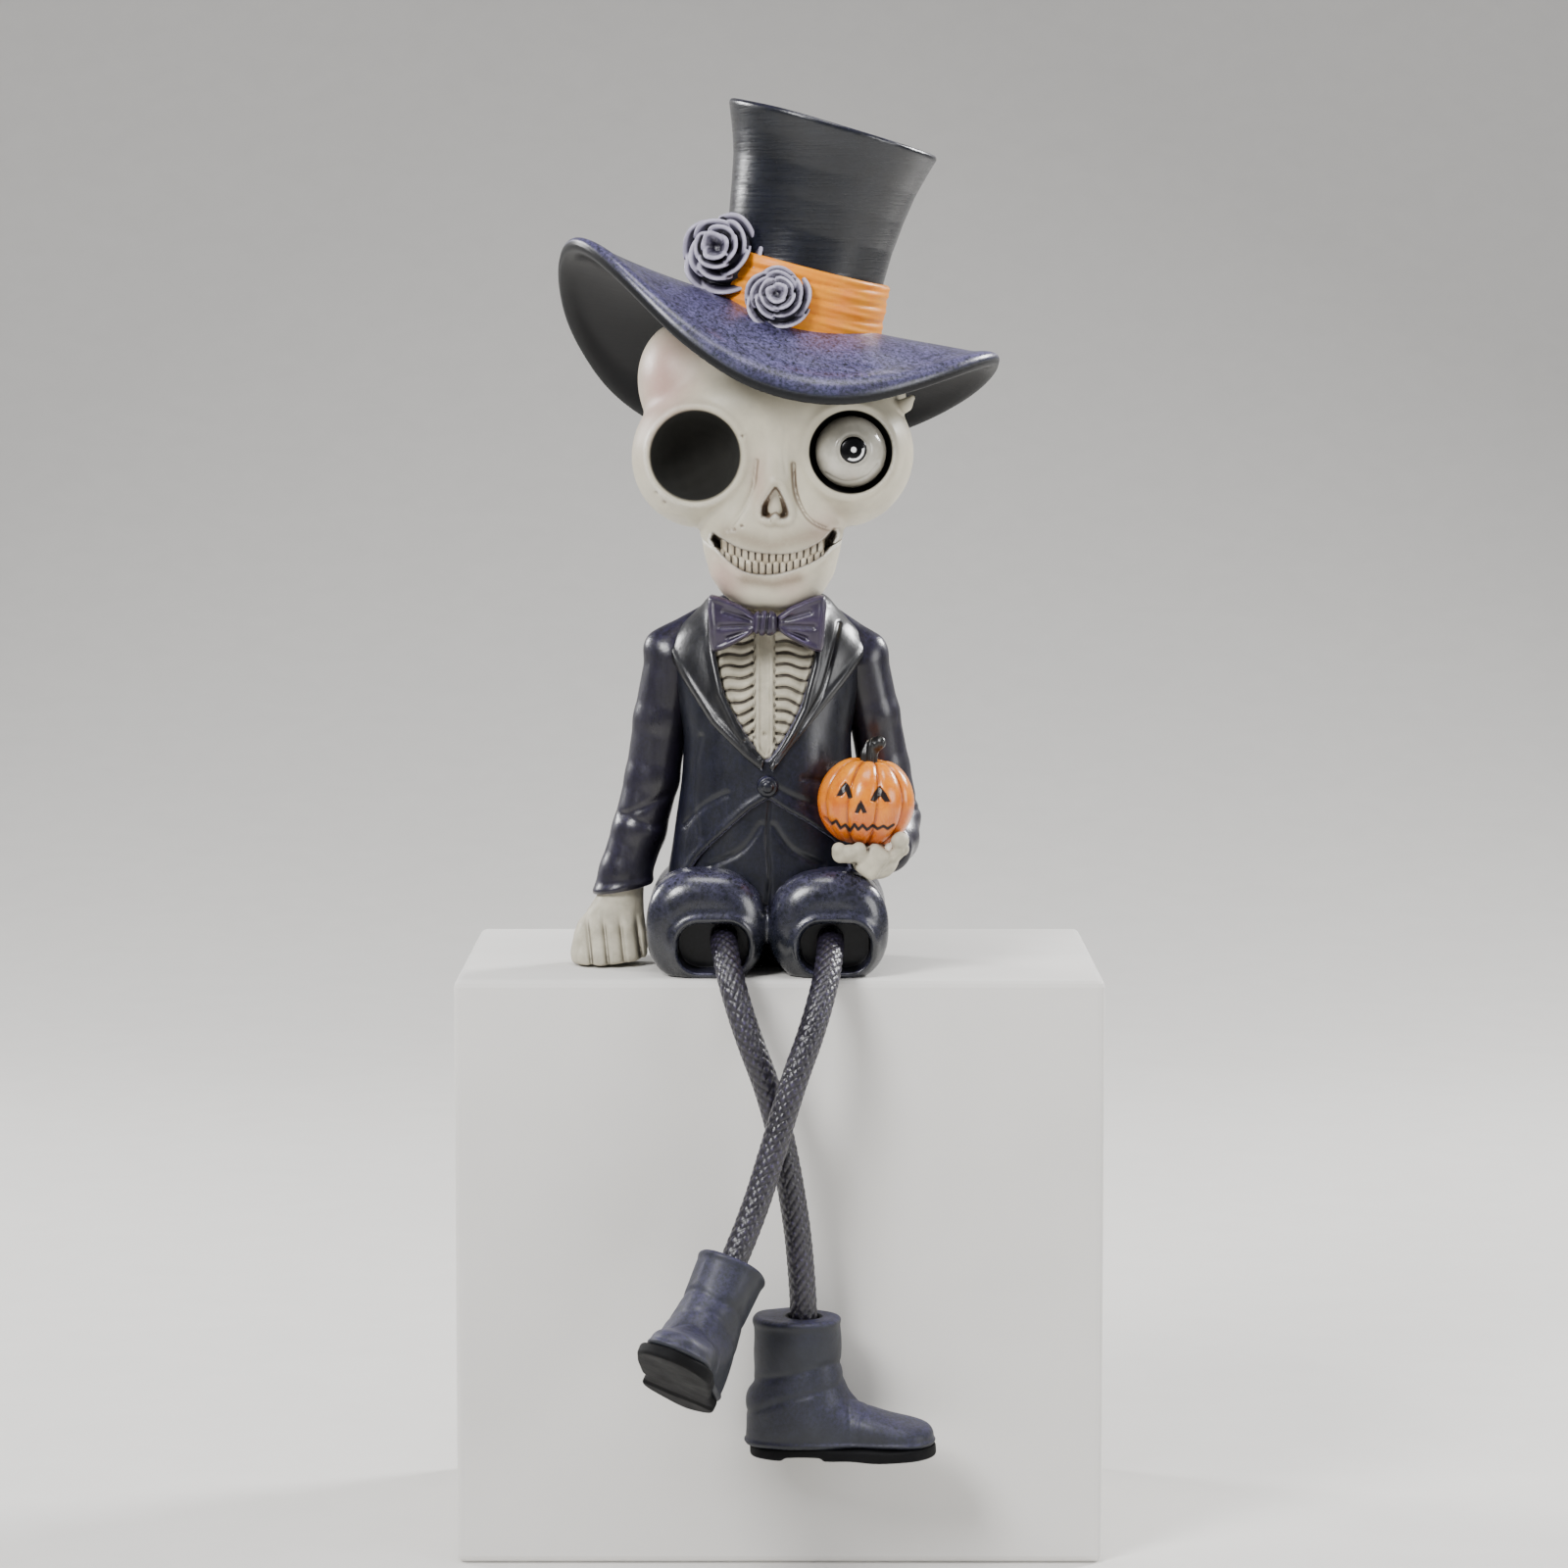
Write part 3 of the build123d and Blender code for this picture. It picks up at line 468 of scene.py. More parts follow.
def make_materials():
    paint = paints()
    black = linear("050507")
    # Ivory resin with a thin brown wash that is partly painted shade: warm bone whose hollows and cracks read
    # dark.
    MATERIALS["bone"] = painted_resin(
        "bone_resin_ivory_brown_washed_and_shaded", paint.bone, tint(paint.bone, 0.84), paint.bone_wash_and_shade,
        linear("e9e7df"), wash_and_shade_share=0.95, edge_share=0.7, roughness=(0.36, 0.52), coat=0.0,
        stains=[("blush_and_reflection", paint.blush_and_reflection, 0.7), ("painted_shade", linear("6f5b47"), 0.7)],
        matt_black_and_shade=paint.socket, brush_mm=(7, 7, 7), mottle_mm=5.0)
    # The same ivory left drier and dirtier, as on the hands and the ribs.
    MATERIALS["dry_bone"] = painted_resin(
        "bone_resin_dry_brushed", tint(paint.bone, 0.9), tint(paint.bone, 0.66), linear("332b25"),
        linear("e4e0d0"), wash_and_shade_share=0.95, edge_share=0.65, roughness=(0.5, 0.68), coat=0.0,
        brush_mm=(1.5, 1.5, 5), mottle_mm=2.5)
    MATERIALS["teeth"] = painted_resin(
        "tooth_resin_cream_brown_washed_and_shaded", linear("c9c0ab"), linear("9c8f79"), linear("21170f"),
        linear("e9e4d8"), wash_and_shade_share=1.0, edge_share=0.7, roughness=(0.35, 0.5), coat=0.2,
        stains=[("painted_shade", linear("54402f"), 0.7)], brush_mm=(1, 1, 3), mottle_mm=1.5)
    # Gloss ivory: the eyeball is the shiniest bone on the figure.
    MATERIALS["eye"] = painted_resin(
        "eyeball_resin_ivory_gloss", linear("c6c2b6"), linear("aaa699"), linear("3a352f"),
        linear("e4e0d8"), wash_and_shade_share=0.8, roughness=(0.16, 0.26), coat=0.5, coat_roughness=0.08,
        stains=[("painted_shade", linear("6d655a"), 0.75)], brush_mm=(5, 5, 5), mottle_mm=4.0)
    MATERIALS["pupil"] = painted_resin(
        "pupil_enamel_black_gloss", black, black, black, black, edge_share=0.0,
        roughness=(0.2, 0.25), coat=0.0, shine=0.25,
        stains=[("dot_and_glint", linear("ffffff"), 1.0)], mottle_mm=2.0, brush_depth=0.0, grain_depth=0.0)
    # Satin blue black with violet overspray and painted sheen on upward surfaces, with lilac dragged over the
    # edges.
    MATERIALS["coat"] = painted_resin(
        "coat_resin_blue_black_satin", paint.coat, tint(paint.coat, 0.5), black, paint.glint,
        wash_and_shade_share=0.9, edge_share=0.4, overspray_and_sheen=paint.overspray_and_sheen, overspray_and_sheen_share=0.16,
        roughness=(0.26, 0.44), coat=0.3, coat_roughness=0.22, brush_mm=(2, 2, 9), shine=0.35)
    MATERIALS["trousers"] = painted_resin(
        "trouser_resin_blue_black_satin", tint(paint.coat, 1.2), tint(paint.coat, 0.6), black, paint.glint,
        wash_and_shade_share=0.9, edge_share=0.35, overspray_and_sheen=linear("8b86b4"), overspray_and_sheen_share=0.3,
        roughness=(0.2, 0.36), coat=0.45, coat_roughness=0.18, brush_mm=(2, 9, 2), matt_black_and_shade=black)
    MATERIALS["sleeve"] = painted_resin(
        "sleeve_resin_violet_black_satin", paint.satin, tint(paint.satin, 0.5), black,
        linear("b5a9d6"), wash_and_shade_share=0.9, edge_share=0.5, overspray_and_sheen=paint.overspray_and_sheen,
        overspray_and_sheen_share=0.16, roughness=(0.26, 0.44), coat=0.3, coat_roughness=0.22, brush_mm=(2, 2, 9))
    MATERIALS["lapel"] = painted_resin(
        "lapel_resin_black_satin", paint.lapel, tint(paint.lapel, 0.6), black, linear("8b8fa0"),
        wash_and_shade_share=1.0, edge_share=0.6, overspray_and_sheen=linear("4a4a60"), overspray_and_sheen_share=0.2,
        roughness=(0.28, 0.42), coat=0.25, coat_roughness=0.22, brush_mm=(1.5, 1.5, 7))
    MATERIALS["bow"] = painted_resin(
        "bow_resin_plum_satin", paint.bow, tint(paint.bow, 0.5), linear("0a080e"), linear("a99bc6"),
        wash_and_shade_share=1.0, edge_share=0.7, overspray_and_sheen=linear("6f6498"), overspray_and_sheen_share=0.25,
        roughness=(0.28, 0.45), coat=0.3, brush_mm=(4, 4, 1))
    # Brushed round the crown in one direction, so the lights smear into upright streaks.
    MATERIALS["crown"] = painted_resin(
        "crown_resin_blue_black_brushed", paint.hat, tint(paint.hat, 0.5), black, linear("a99fd0"),
        wash_and_shade_share=0.9, edge_share=0.45, overspray_and_sheen=paint.overspray_and_sheen, overspray_and_sheen_share=0.12,
        roughness=(0.22, 0.36), coat=0.3, coat_roughness=0.2, brush_mm=(9, 9, 0.45), brush_depth=0.04)
    # Dark slate with a painted violet reflection on its upper side, and painted shade in flat black
    # underneath.
    MATERIALS["brim"] = painted_resin(
        "brim_resin_slate_violet_painted_sheen", linear("1b2230"), linear("0e1118"), black,
        linear("b4bcd6"), wash_and_shade_share=0.5, edge_share=0.7, overspray_and_sheen=paint.brim,
        overspray_and_sheen_share=0.72, roughness=(0.26, 0.44), coat=0.3, coat_roughness=0.25,
        brush_mm=(9, 1.0, 9), matt_black_and_shade=linear("07080c"))
    MATERIALS["band"] = painted_resin(
        "ribbon_resin_orange_painted", paint.band, linear("e68200"), linear("9a4400"), linear("ffc640"),
        wash_and_shade_share=0.85, edge_share=0.3, overspray_and_sheen=linear("ffae00"), overspray_and_sheen_share=0.4,
        roughness=(0.38, 0.55), coat=0.1, brush_mm=(8, 8, 0.5), brush_depth=0.05, shine=0.35)
    MATERIALS["rose"] = painted_resin(
        "rose_resin_violet_dry_brushed", paint.rose, linear("221f2e"), linear("08070c"), paint.rose_edge,
        wash_and_shade_share=1.0, edge_share=0.4, roughness=(0.35, 0.55), coat=0.1, brush_mm=(2, 2, 2),
        mottle_mm=2.0, stains=[("rim", paint.rose_edge, 0.75)])
    # Gloss orange with a painted highlight on top, and painted shade low down and at one edge.
    MATERIALS["pumpkin"] = painted_resin(
        "pumpkin_resin_orange_gloss", paint.pumpkin, linear("c86200"), linear("7c2c00"), linear("ffb020"),
        wash_and_shade_share=0.85, edge_share=0.2, overspray_and_sheen=linear("f4a000"), overspray_and_sheen_share=0.5,
        roughness=(0.2, 0.34), coat=0.35, coat_roughness=0.14, brush_mm=(2, 2, 7), mottle_mm=3.0,
        stains=[("painted_shade", linear("a33300"), 0.75)], matt_black_and_shade=linear("180503"))
    MATERIALS["stem"] = painted_resin(
        "stem_resin_black_satin", linear("0d0c0a"), linear("070606"), black, linear("8c8577"),
        edge_share=0.6, roughness=(0.3, 0.45), coat=0.2, brush_mm=(0.6, 0.6, 4))
    MATERIALS["boot"] = painted_resin(
        "boot_resin_slate_matt", paint.boot, tint(paint.boot, 0.62), linear("0a0b10"), linear("8a8ca6"),
        wash_and_shade_share=0.85, edge_share=0.45, overspray_and_sheen=linear("4d4677"), overspray_and_sheen_share=0.45,
        roughness=(0.48, 0.62), coat=0.05, brush_mm=(4, 4, 4), matt_black_and_shade=black)
    MATERIALS["sole"] = painted_resin(
        "sole_resin_black_matt", linear("060609"), linear("040405"), black, linear("2a2c38"),
        wash_and_shade_share=0.8, edge_share=0.3, roughness=(0.6, 0.75), coat=0.0, brush_mm=(5, 5, 5), shine=0.15)
    MATERIALS["cord"] = waxed_cord()


def waxed_cord():
    """Braided cotton cord, waxed: painted lilac glints on the strands' crests, and painted shade, near black,
    between them.
    """
    paint = paints()
    material = bpy.data.materials.new("cord_cotton_braided_waxed")
    material.use_nodes = True
    tree = material.node_tree
    shader = tree.nodes["Principled BSDF"]
    place = add(tree, "TexCoord").outputs["Object"]
    crest = add(tree, "Attribute", attribute_name="crest").outputs["Fac"]
    patchy = add(tree, "TexNoise", {"Vector": place, "Scale": 1 / (4.5 * MM), "Detail": 3.0}).outputs["Fac"]
    fibre = add(tree, "TexNoise", {"Vector": place, "Scale": 1 / (0.28 * MM), "Detail": 2.0}).outputs["Fac"]
    colour = coloured(tree, spread(tree, patchy, 0.35, 0.65), tint(paint.cord, 0.7), paint.cord)
    # Painted shade: near black in the gaps between the strands.
    colour = coloured(tree, spread(tree, crest, 0.45, 0.05), colour, linear("060508"))
    # Painted highlight: lilac glints on the strands' crests.
    crest_glint = times(tree, spread(tree, crest, 0.7, 1.0), spread(tree, fibre, 0.42, 0.66))
    crest_glint = times(tree, crest_glint, spread(tree, patchy, 0.3, 0.7, 0.08, 0.4))
    colour = coloured(tree, crest_glint, colour, linear("7466a0"))
    relief = add(tree, "Bump", {"Height": fibre, "Strength": 1.0, "Distance": 0.06 * MM}).outputs[0]
    for socket, value in (("Base Color", colour), ("Normal", relief),
                          ("Roughness", spread(tree, patchy, 0.3, 0.7, 0.3, 0.5))):
        tree.links.new(value, shader.inputs[socket])
    shader.inputs["Coat Weight"].default_value = 0.35
    shader.inputs["Coat Roughness"].default_value = 0.28
    return material


def plain_matt(name, colour):
    """Painted board: the stage only has to be pale and even, with a faint tooth."""
    material = bpy.data.materials.new(name)
    material.use_nodes = True
    tree = material.node_tree
    shader = tree.nodes["Principled BSDF"]
    place = add(tree, "TexCoord").outputs["Object"]
    tooth = add(tree, "TexNoise", {"Vector": place, "Scale": 90.0, "Detail": 4.0}).outputs["Fac"]
    colour = coloured(tree, spread(tree, tooth, 0.3, 0.7), tint(colour, 0.97), colour)
    tree.links.new(colour, shader.inputs["Base Color"])
    shader.inputs["Roughness"].default_value = 0.75
    return material


# ---- cord legs ----
def spline_points(side):
    """The leg's line: a smooth spline that has the route's points as its control points."""
    route = LEG_ROUTES[side]
    curve = bpy.data.curves.new(side + "_leg_line", "CURVE")
    curve.dimensions = "3D"
    curve.resolution_u = 60
    spline = curve.splines.new("NURBS")
    spline.points.add(len(route) - 1)
    for point, place in zip(spline.points, route):
        point.co = (*place, 1.0)
    spline.order_u = 3
    spline.use_endpoint_u = True
    holder = bpy.data.objects.new(side + "_leg_line", curve)
    line = bpy.data.meshes.new_from_object(holder)
    points = np.array([v.co for v in line.vertices], float)
    bpy.data.objects.remove(holder)
    bpy.data.curves.remove(curve)
    bpy.data.meshes.remove(line)
    return points


def braid_height(around, along, strands, pitch):
    """Strands wound both ways, each passing over one and under the next: 0 in a gap, 1 on a crest."""
    u = around * strands / (2 * math.pi) + along / pitch
    v = around * strands / (2 * math.pi) - along / pitch
    over = (np.floor(u) + np.floor(v)) % 2 < 0.5
    fu, fv = u - np.floor(u), v - np.floor(v)
    first = np.sin(math.pi * fu) ** 0.6 * (0.45 + 0.55 * np.sin(math.pi * fv))
    second = np.sin(math.pi * fv) ** 0.6 * (0.45 + 0.55 * np.sin(math.pi * fu))
    return np.where(over, first, second)


def braided_leg(side):
    """One leg: a tube whose wall rises over each strand of the braid."""
    size = sizes()
    path = spline_points(side)
    step = np.linalg.norm(np.diff(path, axis=0), axis=1)
    along = np.concatenate([[0], np.cumsum(step)])
    tangent = np.gradient(path, along, axis=0)
    tangent /= np.linalg.norm(tangent, axis=1)[:, None]
    across = np.array([1.0, 0.0, 0.0])
    around = POINTS_AROUND_CORD
    ring = np.arange(around) * 2 * math.pi / around
    radius = size.cord_diameter / 2
    rows, crests = [], []
    for centre, ahead, place in zip(path, tangent, along):
        across = across - ahead * (across @ ahead)
        across /= np.linalg.norm(across)
        third = np.cross(ahead, across)
        height = braid_height(ring, np.full(ring.shape, place), size.strands, size.braid_pitch)
        reach = radius - BRAID_RELIEF + BRAID_RELIEF * height
        outward = np.cos(ring)[:, None] * across + np.sin(ring)[:, None] * third
        rows.append(centre + reach[:, None] * outward)
        crests.append(height)
    count = len(rows)
    vertices = np.concatenate([*rows, path[:1], path[-1:]])
    edge = np.arange(around)
    following = (edge + 1) % around
    first = np.arange(count - 1)[:, None] * around + edge[None]
    second = np.arange(count - 1)[:, None] * around + following[None]
    walls = np.stack([first, second, second + around, first + around], -1).reshape(-1, 4)
    near = np.stack([np.full(around, count * around), following, edge], 1)
    far = np.stack([np.full(around, count * around + 1), edge, following], 1)
    far[:, 1:] += (count - 1) * around
    triangles = np.concatenate([walls[:, [0, 1, 2]], walls[:, [0, 2, 3]], near, far])
    leg = new_mesh(side + "_braided_leg", vertices, triangles)
    stain(leg, "crest", np.concatenate([*crests, [0, 0]]))
    leg.data.materials.append(MATERIALS["cord"])
    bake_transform(leg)
    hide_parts(side + "_knee_cord", side + "_leg_cord")
    return leg


# ---- trousers ----
MOUTH_CENTRES = (-8.6, 10.9)


def mouth_outline(p, centre_x):
    """Distance in the front plane to the edge of a trouser opening."""
    q = np.stack([np.abs(p[:, 0] - centre_x) - 2.2, np.abs(p[:, 2] - 4.9) - 0.5], 1)
    return length(np.maximum(q, 0)) + np.minimum(q.max(1), 0) - 3.5


def trousers_form(p):
    d = None
    for side in (-1, 1):
        thigh = column(p, [(-19.2, 8.3, 7.9, side * 10.0, 8.1), (-16.5, 9.6, 9.2, side * 9.9, 7.9),
                           (-8.0, 9.8, 9.5, side * 9.6, 7.7), (4.0, 9.6, 9.6, side * 9.2, 7.6),
                           (13.5, 8.4, 8.8, side * 8.6, 7.4)], power=2.35, axis=1)
        thigh = meet(thigh, np.abs(p[:, 1] + 3.0) - 16.2, 3.6)
        d = thigh if d is None else join(d, thigh, 1.6)
    d = join(d, block(p, (0, 3.2, 7.0), (18.2, 9.6, 9.2), 6.5), 3.0)
    d = d + wobble(p, 14.0, 4) * 0.12
    front = ease(-p[:, 1], 12.0, 17.0)
    for centre_x in MOUTH_CENTRES:
        lip = mouth_outline(p, centre_x)
        d = d - 0.42 * ridge(lip - 0.75, 0.75) * front
        well = np.maximum(lip, np.abs(p[:, 1] + 21.0) - 9.0)
        d = carve(d, well, 0.35)
    x, y = np.abs(p[:, 0]), p[:, 1]
    top = ease(p[:, 2], 9.0, 14.0)
    for crease in (((1.2, -11.5), (4.5, -8.5), (9.0, -8.0), (15.5, -10.0)),
                   ((2.0, -14.0), (4.6, -11.8), (7.8, -11.8)), ((15.0, -5.5), (18.0, -8.5), (19.5, -12.5))):
        d = d + 0.3 * ridge(from_line(x, y, flow(crease, 5)), 0.45) * top
    return meet(d, -p[:, 2], 0.5)


def in_trouser_mouth(p):
    found = np.zeros(len(p))
    for centre_x in MOUTH_CENTRES:
        lip = mouth_outline(p, centre_x)
        found = np.maximum(found, ease(-lip, -0.15, 0.25) * ease(-p[:, 1], 11.0, 12.5))
    return found


# ---- coat ----
RIB_VEE = flow([(-8.6, 62.0), (-8.5, 55.0), (-8.4, 51.9), (-6.9, 45.3), (-4.4, 40.4), (-2.0, 36.6),
                (-0.4, 34.6), (1.0, 35.6), (3.2, 38.9), (5.4, 43.2), (7.3, 49.7), (7.9, 53.0),
                (8.2, 62.0)], 4)
CUTAWAY = flow([(0.2, 28.3), (3.2, 26.3), (7.7, 23.6), (12.2, 19.5), (14.0, 12.0), (14.0, 3.0), (-14.0, 3.0),
                (-14.0, 12.0), (-11.4, 18.0), (-7.0, 22.6), (-2.6, 26.6)], 4)
LEFT_LAPEL = [(0.2, 33.6), (1.4, 35.2), (3.4, 38.6), (5.6, 42.9), (7.4, 49.7), (7.9, 53.0), (8.3, 61.0),
              (11.0, 60.0), (13.6, 56.8), (17.2, 53.9), (16.2, 51.0), (14.2, 48.6), (11.1, 45.0), (7.4, 40.7),
              (4.0, 36.8), (0.9, 32.6)]
RIGHT_LAPEL = [(-0.3, 34.6), (-2.2, 36.6), (-4.6, 40.4), (-7.0, 45.3), (-8.4, 51.9), (-8.6, 55.0),
               (-8.7, 61.0), (-11.0, 60.0), (-13.8, 57.2), (-17.6, 54.3), (-15.8, 50.4), (-12.6, 45.4),
               (-9.0, 40.2), (-3.6, 35.0), (-0.8, 32.8)]


def torso_form(p):
    d = column(p, [(6.0, 17.4, 12.4, 0, -1.2), (12.0, 16.9, 12.5, 0, -1.4), (20.0, 15.4, 12.3, 0, -1.3),
                   (30.0, 14.0, 12.1, 0, -1.0), (38.0, 13.6, 11.7, 0, -0.7), (46.0, 14.8, 11.0, 0, -0.2),
                   (51.5, 15.6, 9.7, 0, 0.4), (55.0, 14.0, 8.6, 0, 0.7), (58.0, 10.4, 7.6, 0, 0.9),
                   (61.5, 7.6, 6.6, 0.3, 1.0)], power=2.3)
    d = meet(d, p[:, 2] - 60.5, 1.6)
    return meet(d, 7.0 - p[:, 2], 1.0)


def in_vee(p):
    return from_line(p[:, 0], p[:, 2], RIB_VEE, closed=True)


def in_cutaway(p):
    return from_line(p[:, 0], p[:, 2], CUTAWAY, closed=True)


def jacket_form(p):
    d = torso_form(p) + wobble(p, 13.0, 7) * 0.14
    front = ease(-p[:, 1], 1.0, 5.0)
    vee, cutaway = in_vee(p), in_cutaway(p)
    d = d + 2.4 * ease(-vee, -0.25, 0.3) * front + 1.3 * ease(-cutaway, -0.3, 0.35) * front
    d = d - 0.22 * ridge(cutaway - 0.8, 0.6) * front
    x, z = p[:, 0], p[:, 2]
    for crease in (((10.8, 33.0), (12.2, 27.0), (11.4, 21.0)), ((-10.6, 38.0), (-12.0, 30.0), (-11.0, 22.0)),
                   ((6.0, 31.5), (9.5, 30.6), (12.5, 28.6)), ((-6.5, 29.0), (-10.0, 27.0), (-13.5, 23.5)),
                   ((1.5, 30.0), (4.6, 28.4), (9.4, 26.6))):
        d = d + 0.2 * ridge(from_line(x, z, flow(crease, 5)), 0.55) * front
    back = ease(p[:, 1], 1.0, 5.0)
    centre_vent = from_line(x, z, [(0.0, 4.0), (0.0, 30.0), (0.2, 55.0)])
    d = d + (0.2 + 0.25 * ease(-z, -24.0, -10.0)) * ridge(centre_vent, 0.35) * back
    for side in (-1, 1):
        dart = flow([(side * 9.0, 8.0), (side * 7.6, 26.0), (side * 8.6, 40.0), (side * 14.0, 49.0)], 6)
        seam = from_line(x, z, dart)
        d = d + 0.16 * ridge(seam, 0.35) * back
        button = length(np.stack([x - side * 3.4, z - 25.5], 1))
        d = d - 0.55 * ease(-button, -1.25, -0.6) * back
    collar = ridge(z - 57.4, 1.2) * back
    return d - 0.5 * collar


def waistcoat_form(p):
    d = torso_form(p) + 0.75 + wobble(p, 9.0, 12) * 0.1
    x, z = p[:, 0], p[:, 2]
    d = d + 0.35 * ridge(x - 0.2 - 0.2 * np.sin(z * 0.5), 0.35)
    for side in (-1, 1):
        fold = from_line(x, z, flow([(side * 1.0, 24.0), (side * 4.0, 20.0), (side * 9.0, 17.4)], 6))
        d = d + 0.22 * ridge(fold, 0.5)
    d = meet(d, in_cutaway(p) - 0.6, 0.3)
    return meet(meet(d, p[:, 1] + 2.0, 0.3), -(torso_form(p) + 3.4), 0.3)


def lapel_form(outline, crease):
    relief = sizes().lapel_relief / MM

    def form(p):
        shell = torso_form(p)
        edge = from_line(p[:, 0], p[:, 2], outline, closed=True)
        d = shell - relief + wobble(p, 8.0, 21) * 0.08
        d = d - 0.3 * ridge(edge + 0.75, 0.6)
        d = d + 0.38 * ridge(from_line(p[:, 0], p[:, 2], crease), 0.34)
        d = meet(d, edge, 0.45)
        d = meet(d, -(shell + 1.6), 0.3)
        return meet(d, p[:, 1] - 1.0, 0.6)
    return form


def button_form(p):
    d = egg(p, (0.1, -13.0, 30.3), (1.75, 1.25, 1.8))
    dish = length(np.stack([p[:, 0] - 0.1, p[:, 2] - 30.3], 1))
    return d + 0.16 * ridge(dish - 1.05, 0.25)


# ---- ribs ----
def ribcage_form(p):
    x, z = p[:, 0] + 0.4, p[:, 2]
    pitch = sizes().rib_pitch / MM
    reach = np.abs(x)
    slope = 0.12 + 0.24 * ease(-z, -50.0, -38.0)
    phase = (z + slope * (reach - 1.4) - 37.2 + 0.22 * np.sin(x * 1.3)) / pitch
    rib = np.abs(np.sin(math.pi * phase)) ** 0.9
    breast = ease(-reach, -1.95, -1.6)
    twin = ridge(reach - 1.1, 0.38)
    relief = (1 - breast) * (1.25 * rib - 0.55) + breast * (0.1 + 0.75 * twin)
    relief = relief + wobble(p, 3.0, 33) * 0.14 - 0.35 * ridge(reach - 1.95, 0.3)
    hole = length(np.stack([x, (z - 38.6) * 0.8], 1))
    d = torso_form(p) + 1.35 - 0.72 * relief + 0.5 * ridge(hole, 0.35)
    vee = in_vee(p)
    d = d - 0.45 * ridge(vee + 0.35, 0.35)
    d = meet(d, vee - 0.3, 0.2)
    return meet(meet(d, p[:, 1] + 2.0, 0.3), -(torso_form(p) + 3.6), 0.3)


# ---- arms and hands ----
RIGHT_ARM = [((-15.3, 0.6, 50.2), 4.6), ((-17.4, 0.8, 40.0), 4.4), ((-18.9, 0.8, 30.5), 4.4),
             ((-20.9, 0.6, 22.0), 4.4), ((-23.2, 0.4, 15.0), 4.25), ((-24.0, 0.4, 12.2), 4.3)]
LEFT_ARM = [((15.2, 0.5, 49.4), 4.5), ((17.4, 1.0, 41.0), 4.2), ((18.9, 1.6, 32.0), 4.2),
            ((20.6, 1.4, 24.0), 4.5), ((20.4, -3.2, 21.0), 4.2), ((19.4, -8.6, 19.8), 3.7)]


def right_sleeve_form(p):
    d = chain(p, RIGHT_ARM, 0.8) + wobble(p, 12.0, 41) * 0.12
    d = join(d, limb(p, (-17.2, 0.5, 52.0), (-9.5, 1.5, 56.0), 2.7, 2.9), 1.8)
    z, y = p[:, 2], p[:, 1]
    for height, lean in ((27.0, 0.45), (23.6, -0.3)):
        d = d + 0.2 * ridge(z - height - lean * (p[:, 0] + 19.0) - 0.12 * y, 0.7) * ease(-y, 0.0, 3.0)
    cuff = z - 11.9 - 0.18 * (p[:, 0] + 24.0)
    d = d - 0.35 * ridge(cuff - 0.8, 0.8)
    d = meet(d, -cuff, 0.5)
    return d + 1.2 * ease(-cuff, -0.4, 0.2)


def left_sleeve_form(p):
    d = chain(p, LEFT_ARM, 0.8) + wobble(p, 12.0, 43) * 0.12
    d = join(d, limb(p, (16.5, 0.5, 51.6), (9.5, 1.5, 56.0), 2.7, 2.9), 1.8)
    z, y = p[:, 2], p[:, 1]
    for height, lean in ((29.0, -0.4), (26.0, -0.1)):
        d = d + 0.22 * ridge(z - height - lean * (p[:, 0] - 19.0), 0.55) * ease(y, -3.0, 0.0)
    cuff = y + 10.2 - 0.1 * (z - 20.0)
    d = d - 0.35 * ridge(cuff - 0.8, 0.8)
    return meet(d, -cuff, 0.5)


def right_hand_form(p):
    """Planted flat: a wrist that spreads into four fused fingers and a tucked thumb."""
    q = into(p, (-25.6, -0.4, 0.0), np.eye(3))
    d = column(p, [(-1.0, 5.9, 5.6, -26.0, -1.0), (2.0, 6.3, 5.4, -25.9, -0.9), (5.0, 6.0, 4.6, -25.7, -0.4),
                   (8.6, 4.7, 3.9, -25.0, 0.1), (11.4, 3.7, 3.5, -24.0, 0.4), (14.5, 3.4, 3.3, -23.6, 0.4)],
               power=2.3)
    d = meet(d, p[:, 2] - 14.0, 0.5)
    lean = q[:, 0] + 0.12 * (q[:, 2] - 6.0)
    depth = ease(-q[:, 2], -9.5, -5.0)
    for place in (-3.6, -0.9, 1.8, 4.4):
        d = d + 0.6 * ridge(lean - place, 0.42) * depth
    for place in (-4.9, -2.2, 0.5, 3.2):
        knuckle = length(np.stack([lean - place, (q[:, 2] - 6.6) * 0.9], 1))
        d = d - 0.3 * ridge(knuckle, 0.95)
    d = d + wobble(p, 3.4, 51) * 0.1
    floor = 0.35 + 0.11 * np.maximum(p[:, 0] + 27.0, 0) + 0.12 * ridge(lean + 3.6, 0.6)
    return meet(d, floor - p[:, 2], 0.8)


